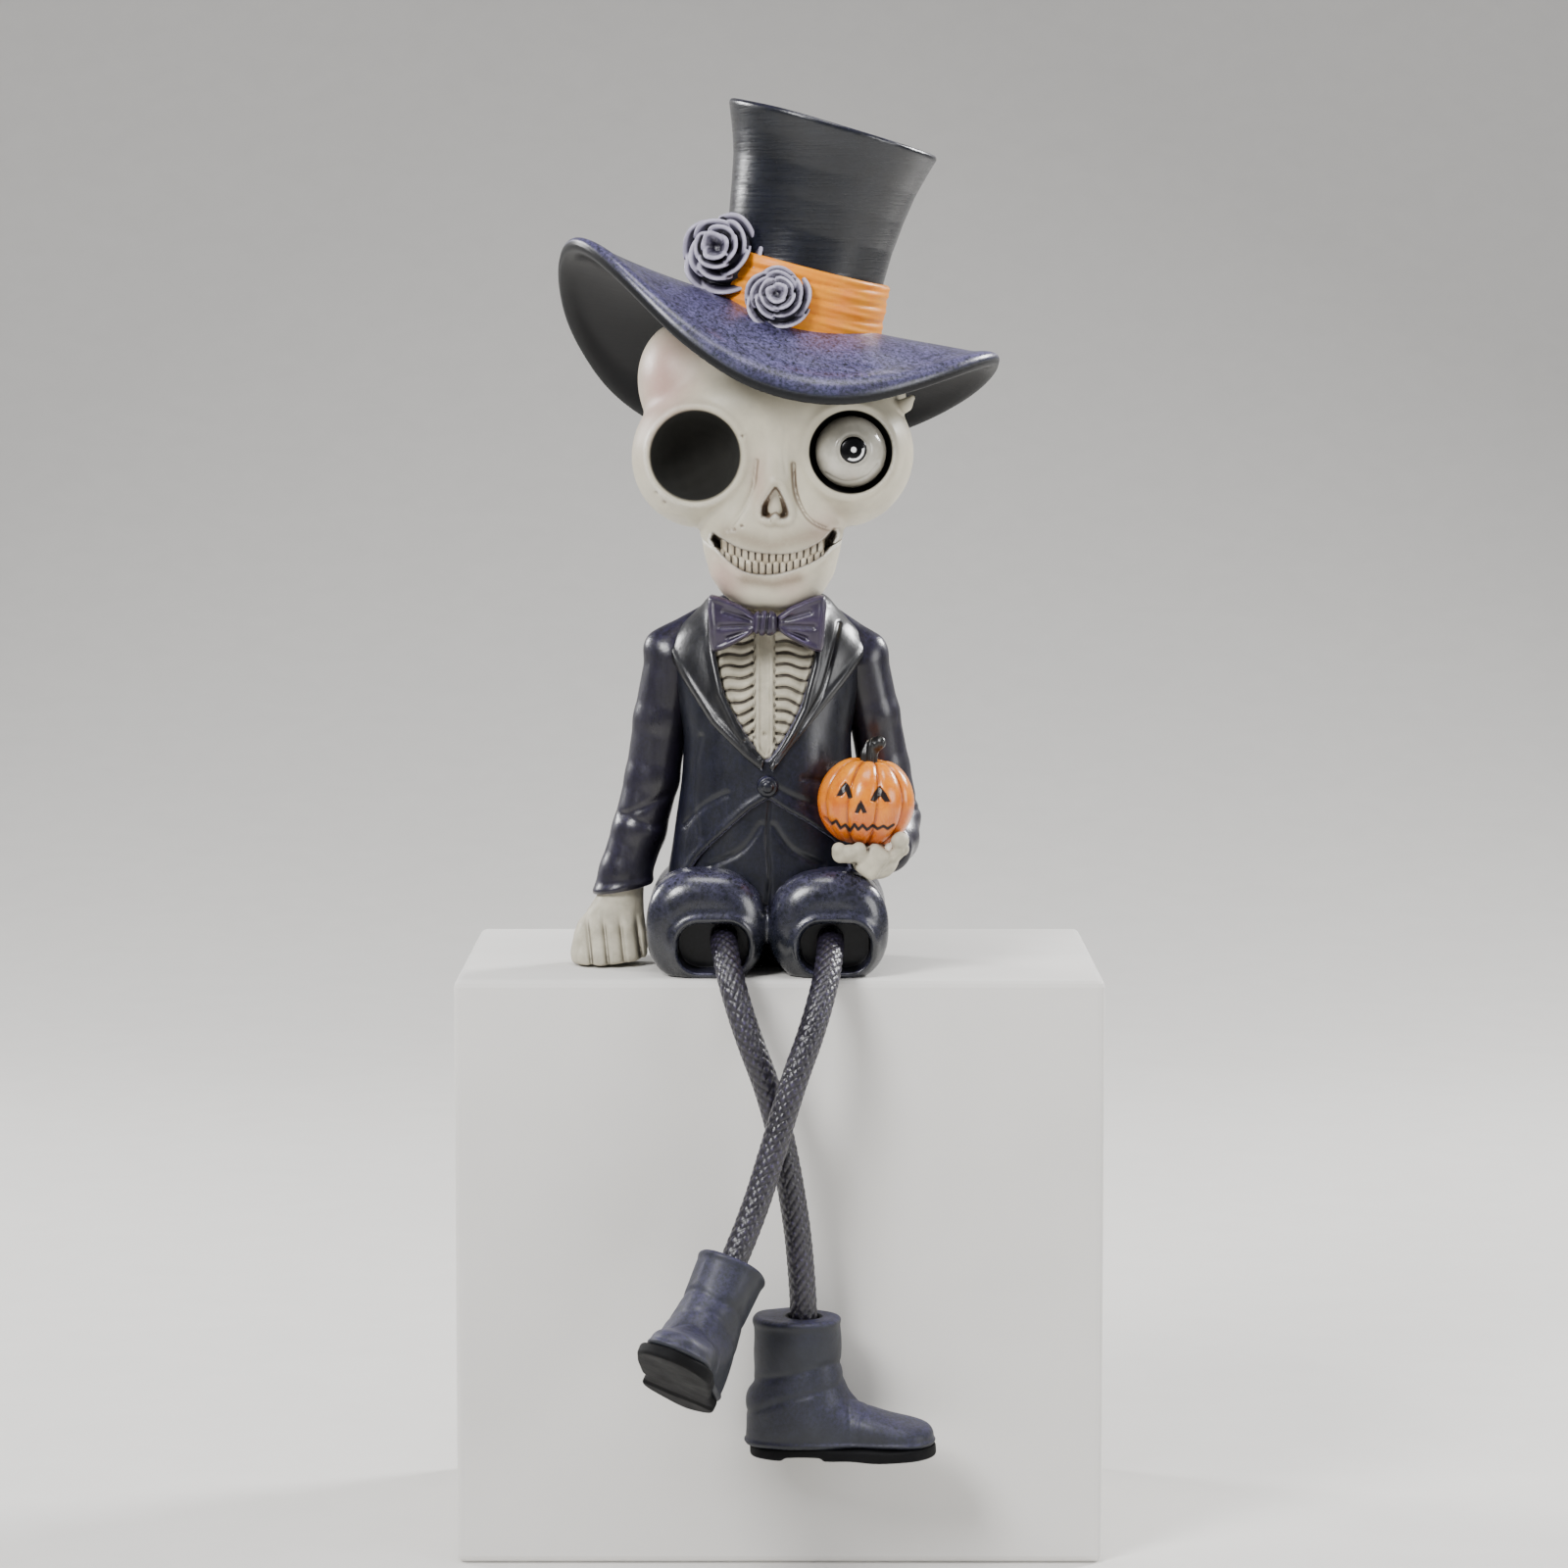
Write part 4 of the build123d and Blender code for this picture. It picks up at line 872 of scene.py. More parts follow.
def left_hand_form(p):
    """Cupped under the pumpkin: three knuckles in front, a palm on its edge, and a raised fingertip."""
    d = chain(p, [((18.6, -10.0, 19.6), 3.0), ((17.6, -13.0, 18.9), 3.1), ((16.6, -16.0, 18.8), 2.8)], 2.0)
    palm = block(into(p, (16.9, -17.6, 18.9), turn(0, 38, 0)), (0, 0, 0), (1.9, 2.7, 2.7), 0.9)
    d = join(d, palm, 0.8)
    for x, z, reach in ((11.5, 21.0, 1.15), (13.1, 20.6, 1.2), (14.6, 21.0, 1.2)):
        joints = [((x + 1.6, -15.0, 19.4), 1.3), ((x + 0.1, -19.6, 20.0), reach), ((x, -20.4, z), reach)]
        finger = chain(p, joints, 0.5)
        d = join(d, finger, 0.35)
    link = chain(p, [((17.6, -17.4, 18.0), 1.3), ((20.0, -18.6, 19.6), 0.9), ((21.0, -18.8, 20.8), 0.9)], 0.5)
    thumb = chain(p, [((20.4, -11.0, 19.6), 1.6), ((21.6, -14.6, 20.4), 1.2)], 0.6)
    d = join(join(d, link, 0.4), thumb, 0.4) + wobble(p, 3.0, 53) * 0.1
    d = carve(d, pumpkin_form(p) - 0.05, 0.15)
    return join(d, ball(p, (21.2, -18.8, 22.2), 1.45), 0.25)


# ---- pumpkin ----
PUMPKIN_PLACE = (15.9, -14.6, 28.1)
EYE_MARKS = [[(11.0, 29.5), (11.7, 30.9), (12.5, 31.8), (13.1, 31.2), (13.6, 29.4), (13.0, 29.1),
              (12.5, 30.3), (11.9, 29.6)],
             [(16.4, 29.0), (17.0, 30.2), (17.9, 31.2), (18.9, 30.1), (19.6, 28.7), (18.7, 28.7),
              (18.0, 29.6), (17.2, 28.7)]]
NOSE_MARK = [(13.9, 27.0), (14.4, 28.3), (14.9, 29.1), (15.4, 28.2), (15.9, 27.0), (15.2, 26.9),
             (14.9, 27.6), (14.5, 26.9)]
GRIN = [(9.3, 25.7), (10.3, 24.9), (11.0, 25.5), (11.7, 24.3), (12.5, 24.9), (13.2, 23.9), (13.9, 25.1),
        (14.5, 24.2), (15.2, 25.0), (15.9, 24.2), (16.8, 24.9), (17.6, 24.3), (18.5, 24.8),
        (19.2, 24.3), (20.1, 24.9)]


def pumpkin_form(p):
    q = into(p, PUMPKIN_PLACE, turn(0, 6, 0))
    around = np.arctan2(q[:, 0], -q[:, 1])
    radial = np.hypot(q[:, 0], q[:, 1])
    ribs = np.abs(np.cos(4.5 * around + 0.5 + 0.3 * np.sin(around)))
    flank = np.clip(radial / 6.0, 0, 1)
    d = egg(q, (0, 0, 0), (7.75, 7.75, 7.5))
    d = d + 0.6 * (1 - ribs) ** 2.0 * flank - 0.12 * ribs * flank
    d = d + 1.5 * np.exp(-(radial / 2.3) ** 2)
    drawn = marks(p)
    return d + 0.22 * drawn * ease(-p[:, 1], 16.0, 18.0)


def marks(p):
    """The drawn face: eyes, nose and a zigzag grin."""
    x, z = p[:, 0], p[:, 2]
    found = ridge(from_line(x, z, GRIN), 0.3)
    for shape in (*EYE_MARKS, NOSE_MARK):
        found = np.maximum(found, ease(-from_line(x, z, shape, closed=True), -0.12, 0.12))
    return found


def drawn_face(p):
    return ease(marks(p), 0.25, 0.7) * ease(-p[:, 1], 16.0, 18.0)


def pumpkin_painted_shade(p):
    """Painted shade: darker orange low down and at the edges of the fruit."""
    q = into(p, PUMPKIN_PLACE, turn(0, 6, 0))
    return 0.8 * ease(-q[:, 2], 0.5, 7.0) + 0.35 * ease(-q[:, 0], 4.0, 8.5)


def stem_form(p):
    d = chain(p, [((16.2, -14.4, 33.0), 1.7), ((16.3, -14.5, 35.6), 1.25), ((16.9, -14.8, 37.0), 1.0),
                  ((18.0, -15.2, 37.6), 0.95)], 0.6)
    around = np.arctan2(p[:, 1] + 14.5, p[:, 0] - 16.4)
    return d + 0.14 * np.cos(6 * around)


# ---- head ----
EYE_AT = (13.35, 83.9)
SOCKET_AT = (-11.45, 83.3)


def from_axis(p, place):
    return length(np.stack([p[:, 0] - place[0], p[:, 2] - place[1]], 1))


def muzzle_form(p):
    return column(p, [(58.0, 3.4, 4.0, 0.6, -6.6), (59.2, 5.6, 6.2, 0.7, -6.2), (61.0, 8.2, 7.6, 0.8, -5.7),
                      (64.0, 10.0, 8.7, 0.7, -5.4), (68.0, 11.0, 9.3, 0.7, -5.4),
                      (72.0, 11.6, 9.5, 0.8, -5.5),
                      (78.0, 11.4, 9.2, 1.0, -5.5)], power=2.9)


MOUTH = flow([(-8.6, 70.9), (-4.3, 68.5), (0.6, 67.6), (4.8, 67.9), (8.6, 69.6), (10.4, 71.3), (10.9, 70.4),
              (8.9, 67.4), (4.8, 65.4), (0.6, 64.4), (-3.6, 64.9), (-6.9, 67.3), (-8.9, 69.9)], 4)


BITE_HEIGHT, BITE_CURVE, FACE_MIDDLE = 66.2, 0.030, 0.9


def bite_line(x):
    """Height of the smile where the two rows of teeth meet."""
    return BITE_HEIGHT + BITE_CURVE * (x - FACE_MIDDLE) ** 2


def head_bone(p):
    x, z = p[:, 0], p[:, 2]
    d = egg(p, (1.2, 3.0, 91.0), (20.2, 19.0, 18.4))
    for place in ((-14.2, 0.0, 95.5), (15.6, 0.0, 92.5)):
        d = join(d, egg(p, place, (6.6, 10.0, 9.0)), 3.0)
    d = join(d, egg(p, (1.0, -12.2, 90.6), (15.0, 4.6, 4.6)), 3.0)
    for place, radii in (((-10.5, -5.4, 83.1), (11.3, 11.4, 11.5)), ((12.3, -5.4, 83.3), (11.3, 11.4, 11.5))):
        d = join(d, egg(p, place, radii), 1.8)
    bridge = chain(p, [((1.0, -12.0, 88.5), 4.2), ((1.1, -13.6, 80.5), 2.9), ((1.3, -13.6, 75.0), 3.0)], 1.0)
    d = join(d, bridge, 1.3)
    face = meet(muzzle_form(p), bite_line(x) - z, 0.25)
    d = join(d, face, 0.9)
    d = d + wobble(p, 15.0, 61) * 0.16
    front = ease(-p[:, 1], 8.0, 12.0)
    # bone rims, the socket and the eye's groove
    d = d - 0.5 * ridge(from_axis(p, SOCKET_AT) - 8.0, 0.75) * front
    d = d - 0.35 * ridge(from_axis(p, EYE_AT) - 7.7, 0.7) * front
    cup = limb(p, (SOCKET_AT[0], -30.0, SOCKET_AT[1]), (SOCKET_AT[0], -14.0, SOCKET_AT[1]), 7.3, 7.3)
    pitted = 0.1 * wobble(p, 2.6, 66)
    d = carve(d, cup + pitted * ease(-(from_axis(p, SOCKET_AT) - 6.9), -0.2, 0.8), 0.5)
    groove = limb(p, (EYE_AT[0], -30.0, EYE_AT[1]), (EYE_AT[0], -12.6, EYE_AT[1]), 6.6, 6.6)
    d = carve(d, groove, 0.4)
    # nose: a shallow upturned heart with a raised rim
    heart = flow([(-0.9, 73.7), (-0.9, 75.4), (0.4, 77.6), (1.4, 78.6), (2.4, 77.4), (3.4, 75.0), (3.4, 73.6),
                  (2.2, 73.2), (1.4, 74.0), (0.4, 73.2)], 3)
    nose = from_line(x, z, heart, closed=True)
    d = d - 0.45 * ridge(nose - 0.7, 0.55) * front + 1.5 * ease(-nose, -0.2, 0.55) * front
    # creases beside the nose and under the eye lobes
    for crease, depth in ((((-1.6, 82.5), (-2.3, 78.0), (-4.3, 74.0), (-6.2, 71.6)), 0.30),
                          (((4.2, 82.0), (4.6, 77.5), (6.4, 73.6), (9.2, 71.8), (11.8, 71.4)), 0.45),
                          (((-0.6, 88.0), (-0.4, 84.0), (-1.0, 80.5)), 0.16),
                          (((2.8, 88.0), (2.6, 84.0), (3.0, 80.5)), 0.16),
                          (((0.4, 72.6), (0.2, 70.6), (0.6, 68.8)), 0.14),
                          (((2.9, 72.6), (3.2, 70.6), (2.9, 69.0)), 0.12)):
        d = d + depth * ridge(from_line(x, z, flow(crease, 5)), 0.42) * front
    for spot in ((-3.9, 86.4), (-17.6, 77.4), (-16.4, 75.9), (-4.0, 72.2), (-5.2, 71.6)):
        d = d + 0.35 * ridge(length(np.stack([x - spot[0], z - spot[1]], 1)), 0.3) * front
    spur = chain(p, [((20.0, -7.0, 90.2), 1.7), ((22.2, -8.0, 91.3), 1.0), ((23.2, -8.2, 92.4), 0.5)], 0.6)
    return join(d, spur, 0.6)


def mouth_recess(p):
    return ease(-from_line(p[:, 0], p[:, 2], MOUTH, closed=True), -0.35, 0.35) * ease(-p[:, 1], 7.0, 9.0)


def skull_form(p):
    return meet(head_bone(p) + 1.5 * mouth_recess(p), over_brim(p), 0.3)


def jaw_form(p):
    d = muzzle_form(p) + wobble(p, 9.0, 71) * 0.14
    d = d - 0.3 * ridge(length(p - np.array((0.9, -13.0, 61.0))), 2.6)
    chin = flow([(-8.2, 66.6), (-4.0, 63.9), (0.8, 63.2), (5.2, 64.2), (9.4, 66.6)], 5)
    corner = from_line(p[:, 0], p[:, 2], chin)
    front = ease(-p[:, 1], 7.0, 9.0)
    d = d - 0.2 * ridge(corner, 0.5) * front + 1.5 * mouth_recess(p)
    d = meet(d, p[:, 2] - bite_line(p[:, 0]) + 0.05, 0.25)
    return meet(d, 58.4 - p[:, 2], 1.4)


def teeth_form(upper):
    pitch = sizes().tooth_pitch / MM
    stagger, rise = (0.0, 1.05) if upper else (0.5, -0.95)

    def form(p):
        x, z = p[:, 0] - FACE_MIDDLE, p[:, 2]
        curve = BITE_CURVE * x ** 2
        index = np.round(x / pitch + stagger) - stagger
        middle = index * pitch
        height = z - curve - (BITE_HEIGHT + rise) - 0.12 * np.sin(index * 2.3)
        squash = np.abs(x - middle) / (pitch * 0.56)
        crown = ease(-np.abs(height), -1.5, -0.5)
        shell = muzzle_form(p) + 0.95
        gap = 0.55 * squash ** 3
        d = shell + gap - 0.42 * crown + wobble(p, 2.0, 81) * 0.06
        d = meet(d, np.abs(height) - 1.22, 0.3)
        d = meet(d, np.abs(x) - 8.3, 0.5)
        d = meet(d, p[:, 1] + 6.0, 0.3)
        return meet(d, -(muzzle_form(p) + 3.0), 0.3)
    return form


def eyeball_form(p):
    d = ball(p, (EYE_AT[0], -12.0, EYE_AT[1]), 5.75)
    front = ease(-p[:, 1], 12.0, 14.0)
    lid = from_line(p[:, 0], p[:, 2], flow([(9.4, 80.6), (12.4, 79.3), (15.6, 80.0), (17.6, 82.0)], 5))
    d = d + 0.14 * ridge(lid, 0.3) * front
    iris = from_axis(p, (13.7, 84.3)) - 2.45
    return d + 0.16 * ridge(iris, 0.25) * front


def pupil_form(p):
    """A drop of enamel that stands a little off the eyeball."""
    d = ball(p, (EYE_AT[0], -12.0, EYE_AT[1]), 5.75 + 0.3)
    disc = from_axis(p, (13.7, 84.3)) - 2.15
    d = meet(d, disc, 0.4)
    return meet(d, p[:, 1] + 14.5, 0.2)


# A painted white dot, and a crescent that is a painted reflection.
def pupil_dot_and_glint(p):
    dot = from_axis(p, (13.75, 84.35)) - 0.42
    crescent = np.maximum(np.abs(from_axis(p, (13.7, 84.3)) - 1.55) - 0.16,
                          -(p[:, 0] - 13.9) * 0.7 + (p[:, 2] - 83.6))
    return ease(-np.minimum(dot, crescent), -0.08, 0.06)


def neck_form(p):
    d = limb(p, (0.5, 1.0, 52.0), (0.6, 0.4, 66.0), 5.2, 4.8)
    return d + 0.3 * np.cos((p[:, 2] - 52.0) * 2 * math.pi / 2.6)


# ---- bow tie ----
def bow_wing_form(side):
    corners = ((1.6, 57.6), (4.2, 59.4), (8.6, 61.0), (9.5, 59.8), (9.3, 56.4), (9.0, 52.6),
               (7.9, 52.0), (5.0, 53.3), (1.9, 55.3), (1.5, 56.4))
    outline = flow([(side * x, z) for x, z in corners], 4)

    def form(p):
        x, z = p[:, 0], p[:, 2]
        edge = from_line(x, z, outline, closed=True)
        reach = np.abs(x)
        puff = 1.4 + 0.16 * (reach - 2.0) - 0.03 * (z - 56.6) ** 2
        middle = -12.4 + 0.14 * (reach - 2.0)
        d = np.abs(p[:, 1] - middle) - puff
        for fold in (((2.0, 56.9), (6.8, 58.4)), ((2.0, 56.2), (7.4, 56.0)), ((2.0, 55.6), (6.2, 54.2))):
            d = d + 0.42 * ridge(from_line(reach, z, fold), 0.42)
        d = d - 0.35 * ridge(edge + 0.5, 0.42)
        return meet(d * 0.85, edge, 0.7)
    return form


def bow_knot_form(p):
    d = block(p, (-0.3, -13.3, 56.6), (1.9, 1.7, 2.0), 1.2)
    for place in (-0.9, 0.3):
        d = d + 0.3 * ridge(p[:, 0] + 0.3 - place - 0.1 * (p[:, 2] - 56.6), 0.22)
    return d


# ---- hat ----
HAT_PLACE = (6.3, 1.0, 104.3)
CROWN_SHIFT = -2.5


def hat_frame(p):
    return into(p, HAT_PLACE, turn(0, math.degrees(sizes().hat_lean), 0))


def brim_level(q):
    """Height over the brim's middle surface, and how far out of its oval outline a point is."""
    x, y = q[:, 0], q[:, 1]
    pitch = -0.17 + 0.0031 * x - 0.00017 * x ** 2
    surface = 0.0006 * x ** 2 - 0.0205 * y ** 2 + pitch * y
    slope = np.sqrt(1 + (0.0012 * x + (0.0031 - 0.00034 * x) * y) ** 2 + (0.041 * y - pitch) ** 2)
    level = (q[:, 2] - surface) / slope
    k = np.hypot((x + 4.6) / 36.6, y / 28.0)
    tight = np.maximum(np.hypot((x + 4.6) / 36.6 ** 2, y / 28.0 ** 2), 1e-4)
    return level, k * (k - 1) / tight


def over_brim(p):
    return brim_level(hat_frame(p))[0] + 0.9


def brim_form(p):
    q = hat_frame(p)
    level, out = brim_level(q)
    half = sizes().brim_thickness / MM / 2
    swell = half - 0.15 + 0.4 * ridge(out + 1.4, 1.5)
    a = np.abs(level + 0.15) - swell + 0.75
    b = out + 0.75
    d = np.hypot(np.maximum(a, 0), np.maximum(b, 0)) + np.minimum(np.maximum(a, b), 0) - 0.75
    return d + wobble(p, 16.0, 91) * 0.1


def under_brim(p):
    """The brim's underside and the lower part of its rim, made flat black as painted shade."""
    return ease(-brim_level(hat_frame(p))[0], -0.35, 0.1)


def crown_form(p):
    q = hat_frame(p)
    heights = np.array([-9, -2, 4, 9, 14, 19, 24, 28, 31.6, 36])
    radii = np.array([14.0, 13.8, 13.5, 13.3, 13.5, 14.2, 15.2, 16.3, 17.4, 18.8])
    radial = np.hypot(q[:, 0] - CROWN_SHIFT, q[:, 1])
    wide = np.interp(q[:, 2], heights, np.convolve(np.pad(radii, 1, mode="edge"), [0.15, 0.7, 0.15], "valid"))
    side = (radial - wide) * 0.96
    top = q[:, 2] - 31.6 + 0.9 * (1 - (radial / 16.0) ** 2) * (radial < 16) + 0.05 * (q[:, 0] - CROWN_SHIFT)
    d = meet(side, top, 0.9) + wobble(p, 15.0, 95) * 0.12
    return meet(d, -0.6 - brim_level(q)[0], 0.3)


def band_form(p):
    """Folded ribbon: soft pleats that bunch towards the roses."""
    q = hat_frame(p)
    radial = np.hypot(q[:, 0] - CROWN_SHIFT, q[:, 1])
    around = np.arctan2(q[:, 0] - CROWN_SHIFT, -q[:, 1])
    z = q[:, 2] + 0.25 * np.sin(around * 2 + 0.6)
    bunch = 1 + 0.22 * np.cos(around + 0.7)
    pleat = np.abs(np.sin((z * bunch + 0.5 * np.sin(around * 1.3 + 1.0)) * math.pi / 2.7)) ** 0.8
    wide = np.interp(q[:, 2], [-9, 0, 9, 14], [14.8, 14.3, 13.9, 14.0])
    d = (radial - wide - 0.3) - 0.26 * pleat + 0.06 * np.sin(q[:, 2] * 5 + 2 * np.sin(around * 2))
    d = meet(d, z - 8.8, 0.7)
    d = meet(d, -0.6 - brim_level(q)[0], 0.3)
    return meet(d, 12.4 - radial, 0.3)


def rose_form(place, heading, radius):
    """A cast rose: four rings of cupped petals round a tight heart, each lapping over the next."""
    lean = np.linalg.inv(turn(0, math.degrees(sizes().hat_lean), 0))
    centre = np.array(HAT_PLACE) + lean @ np.array(place)
    axes = facing(lean @ np.array(heading))
    random = np.random.default_rng(int(radius * 10))
    petals = []
    for count, reach, top in ((5, 0.84, 0.02), (5, 0.62, 0.26), (4, 0.41, 0.44), (3, 0.21, 0.54)):
        first = random.uniform(0, 2 * math.pi)
        for index in range(count):
            petals.append((first + (index + random.uniform(-0.12, 0.12)) * 2 * math.pi / count,
                           reach * random.uniform(0.93, 1.05), 0.66 * 2 * math.pi / count,
                           top + random.uniform(-0.05, 0.05)))

    def petal_walls(q):
        u = q / radius
        radial, around, z = np.hypot(u[:, 0], u[:, 1]), np.arctan2(u[:, 1], u[:, 0]), u[:, 2]
        for angle, reach, span, top in petals:
            off = (around - angle + math.pi) % (2 * math.pi) - math.pi
            lip = z - top + 0.2 * (off / span) ** 2 - 0.03 * np.sin(5 * off + 9 * reach)
            wall = reach * (1 + 0.1 * off / span) + 0.32 * (z - top) + 0.1 * ease(lip, -0.16, 0.0)
            sheet = np.abs(radial - wall) * 0.9 - 0.05
            sides = (np.abs(off) - span) * (radial + 0.05)
            yield meet(meet(sheet, lip, 0.05), np.maximum(sides, -0.7 - z), 0.05), lip

    def form(p):
        q = into(p, centre, axes)
        d = egg(q / radius, (0, 0, -0.42), (0.78, 0.78, 0.5))
        d = join(d, limb(q / radius, (0, 0, -0.4), (0, 0, 0.2), 0.4, 0.12), 0.1)
        for petal, _ in petal_walls(q):
            d = join(d, petal, 0.05)
        return d * radius

    def rim(p):
        q = into(p, centre, axes)
        found = 0.0
        for petal, lip in petal_walls(q):
            found = np.maximum(found, ridge(lip, 0.035) * ease(-petal, -0.05, 0.0))
        return found
    return centre, form, rim


# ---- boots ----
def boot_frame(side):
    inner = np.array(LEG_ROUTES[side][-1]) / MM
    shaft = np.array(LEG_ROUTES[side][-2]) / MM - inner
    shaft /= np.linalg.norm(shaft)
    toe = np.array(TOE_DIRECTIONS[side])
    toe = toe - shaft * (toe @ shaft)
    toe /= np.linalg.norm(toe)
    return inner + shaft * 5.0, np.array([toe, np.cross(shaft, toe), shaft])


def boot_form(side, seed):
    origin, axes = boot_frame(side)

    def form(p):
        q = into(p, origin, axes)
        x, y, z = q[:, 0], q[:, 1], q[:, 2]
        shaft = column(q, [(-21.4, 8.2, 5.6, -0.9, 0), (-15.0, 7.9, 5.5, -1.0, 0), (-8.0, 6.9, 5.2, -1.3, 0),
                           (0.0, 6.9, 5.5, -1.2, 0), (2.0, 7.0, 5.6, -1.2, 0)], power=2.25)
        shaft = meet(shaft, z + 0.045 * x, 0.9)
        foot = column(q, [(-10.5, 4.2, 4.8, 0, -17.4), (-8.0, 5.3, 5.4, 0, -17.2), (-2.0, 5.6, 6.4, 0, -16.6),
                          (5.0, 5.3, 4.8, 0, -17.8), (12.0, 5.5, 3.4, 0, -18.6), (17.0, 5.3, 2.5, 0, -19.2),
                          (20.0, 4.4, 1.9, 0, -19.4)], power=2.2, axis=0)
        length_ends = np.hypot(np.maximum(np.abs(x - 5.5) - 9.3, 0), y) - 5.5
        foot = meet(foot, length_ends, 1.6)
        d = join(shaft, foot, 3.2)
        d = d + wobble(q, 7.0, seed) * 0.16
        for middle_z, lean, depth in ((-8.4, 0.22, 0.2), (-12.0, 0.3, 0.16)):
            d = d + depth * ridge(z - middle_z - lean * x - 0.4 * np.sin(y * 0.7 + middle_z), 0.6)
        d = d + 0.18 * ridge(x - 7.5 - 0.5 * np.sin(y), 0.5) * ease(z, -20.0, -17.0)
        d = d + 0.14 * ridge(x - 9.6 + 0.5 * np.sin(y), 0.45) * ease(z, -20.0, -17.5)
        d = d - 0.2 * ridge(z + 0.7, 0.6)
        welt = z + 19.7
        d = d - 0.28 * ridge(welt, 0.32)
        rim = limb(q, (0, 0, 8.0), (0, 0, -1.0), 2.8, 2.45)
        d = carve(d, rim, 0.4)
        return meet(d, -20.3 - z, 0.2)
    return form


def boot_well(side):
    origin, axes = boot_frame(side)

    def mask(p):
        q = into(p, origin, axes)
        return ease(-np.hypot(q[:, 0], q[:, 1]), -3.2, -2.9) * ease(q[:, 2], -6.0, -4.0)
    return mask


def sole_form(side, seed):
    origin, axes = boot_frame(side)

    def form(p):
        q = into(p, origin, axes)
        x, y, z = q[:, 0], q[:, 1], q[:, 2]
        waist = 0.75 * ridge(x - 1.5, 4.0)
        outline = np.hypot(np.maximum(np.abs(x - 5.5) - 8.9, 0), y) - 6.1 + waist
        d = meet(outline, np.abs(z + 21.2) - 0.95, 0.55)
        arch = ease(-np.abs(x - 0.2), -3.6, -2.4) * ease(-z, 21.4, 22.0)
        d = d + 0.5 * arch + wobble(q, 6.0, seed) * 0.1
        return d
    return form


# ---- operators: one for each piece or group of like pieces ----
class FigureOperator:
    """What every piece operator shares"""
    bl_options = {"REGISTER", "UNDO"}


class FIGURE_OT_stage(FigureOperator, bpy.types.Operator):
    """Sets up the pale floor, the ledge, the soft lights and the camera"""
    bl_idname = "figure.stage"
    bl_label = "Stage, lights and camera"

    def execute(self, context):
        size = sizes()
        board = plain_matt("board_painted_pale", paints().stage)
        floor_z = -size.floor_drop
        bend = np.linspace(0, math.pi / 2, 25)
        sweep_y = np.concatenate([[-3.0], 0.5 + np.sin(bend), [1.5]])
        sweep_z = floor_z + np.concatenate([[0.0], 1 - np.cos(bend), [3.0]])
        edges = np.array([(x, y, z) for y, z in zip(sweep_y, sweep_z) for x in (-4.0, 4.0)])
        row = np.arange(len(sweep_y) - 1)[:, None] * 2
        floor = new_mesh("stage_floor", edges, row + np.array([[0, 1, 3, 2]]))
        floor.data.materials.append(board)
        half = size.ledge_width / 2
        low = np.array((-half + 0.002, -0.0202, floor_z))
        high = np.array((half + 0.002, 0.046, 0.0))
        box = np.array([(x, y, z) for x in (0, 1) for y in (0, 1) for z in (0, 1)])
        faces = np.array([[0, 1, 3, 2], [4, 6, 7, 5], [0, 4, 5, 1], [2, 3, 7, 6], [1, 5, 7, 3], [0, 2, 6, 4]])
        ledge = new_mesh("stage_ledge", low + box * (high - low), faces)
        ledge.data.polygons.foreach_set("use_smooth", np.zeros(6, bool))
        rounding = ledge.modifiers.new("rounded_edges", "BEVEL")
        rounding.width = 0.0012
        rounding.segments = 3
        ledge.data.materials.append(board)
        for name, place, aim, size_m, watts in (
                ("key_softbox", (-0.5, -0.7, 0.66), (0, 0, 0.04), 0.4, 13.0),
                ("fill_softbox", (0.75, -0.45, 0.25), (0, 0, 0.03), 0.45, 3.5),
                ("left_rim_strip", (-0.6, 0.35, 0.3), (0, 0, 0.05), 0.22, 4.5),
                ("right_rim_strip", (0.55, 0.35, 0.42), (0, 0, 0.05), 0.22, 8.0),
                ("top_softbox", (0.05, -0.15, 0.85), (0, 0, 0.0), 0.45, 4.0)):
            lamp = bpy.data.lights.new(name, "AREA")
            lamp.shape = "DISK"
            lamp.size = size_m
            lamp.energy = watts
            holder = bpy.data.objects.new(name, lamp)
            holder.location = place
            toward = Vector(aim) - Vector(place)
            holder.rotation_euler = toward.to_track_quat("-Z", "Y").to_euler()
            context.scene.collection.objects.link(holder)
        world = bpy.data.worlds.new("studio_grey")
        world.use_nodes = True
        world.node_tree.nodes["Background"].inputs["Color"].default_value = linear("c9cad0")
        world.node_tree.nodes["Background"].inputs["Strength"].default_value = 0.42
        context.scene.world = world
        lens = bpy.data.cameras.new("front_camera")
        lens.sensor_width = CAMERA_SENSOR
        lens.lens = CAMERA_LENS
        lens.clip_start = 0.05
        lens.clip_end = 20.0
        camera = bpy.data.objects.new("front_camera", lens)
        camera.location = CAMERA_PLACE
        camera.rotation_euler = (math.radians(90.0 - CAMERA_DIPS), 0.0, 0.0)
        context.scene.collection.objects.link(camera)
        context.scene.camera = camera
        return {"FINISHED"}


class FIGURE_OT_legs(FigureOperator, bpy.types.Operator):
    """Braids the two waxed cord legs along their routes"""
    bl_idname = "figure.legs"
    bl_label = "Cord legs"

    def execute(self, context):
        for side in ("right", "left"):
            braided_leg(side)
        return {"FINISHED"}


class FIGURE_OT_trousers(FigureOperator, bpy.types.Operator):
    """Casts the seated trousers with their dark openings"""
    bl_idname = "figure.trousers"
    bl_label = "Trousers"

    def execute(self, context):
        cast("trousers", trousers_form, (-22, -22, -2), (22, 16, 20), 0.3, MATERIALS["trousers"],
             masks={"black_paint_and_shade": in_trouser_mouth})
        return {"FINISHED"}


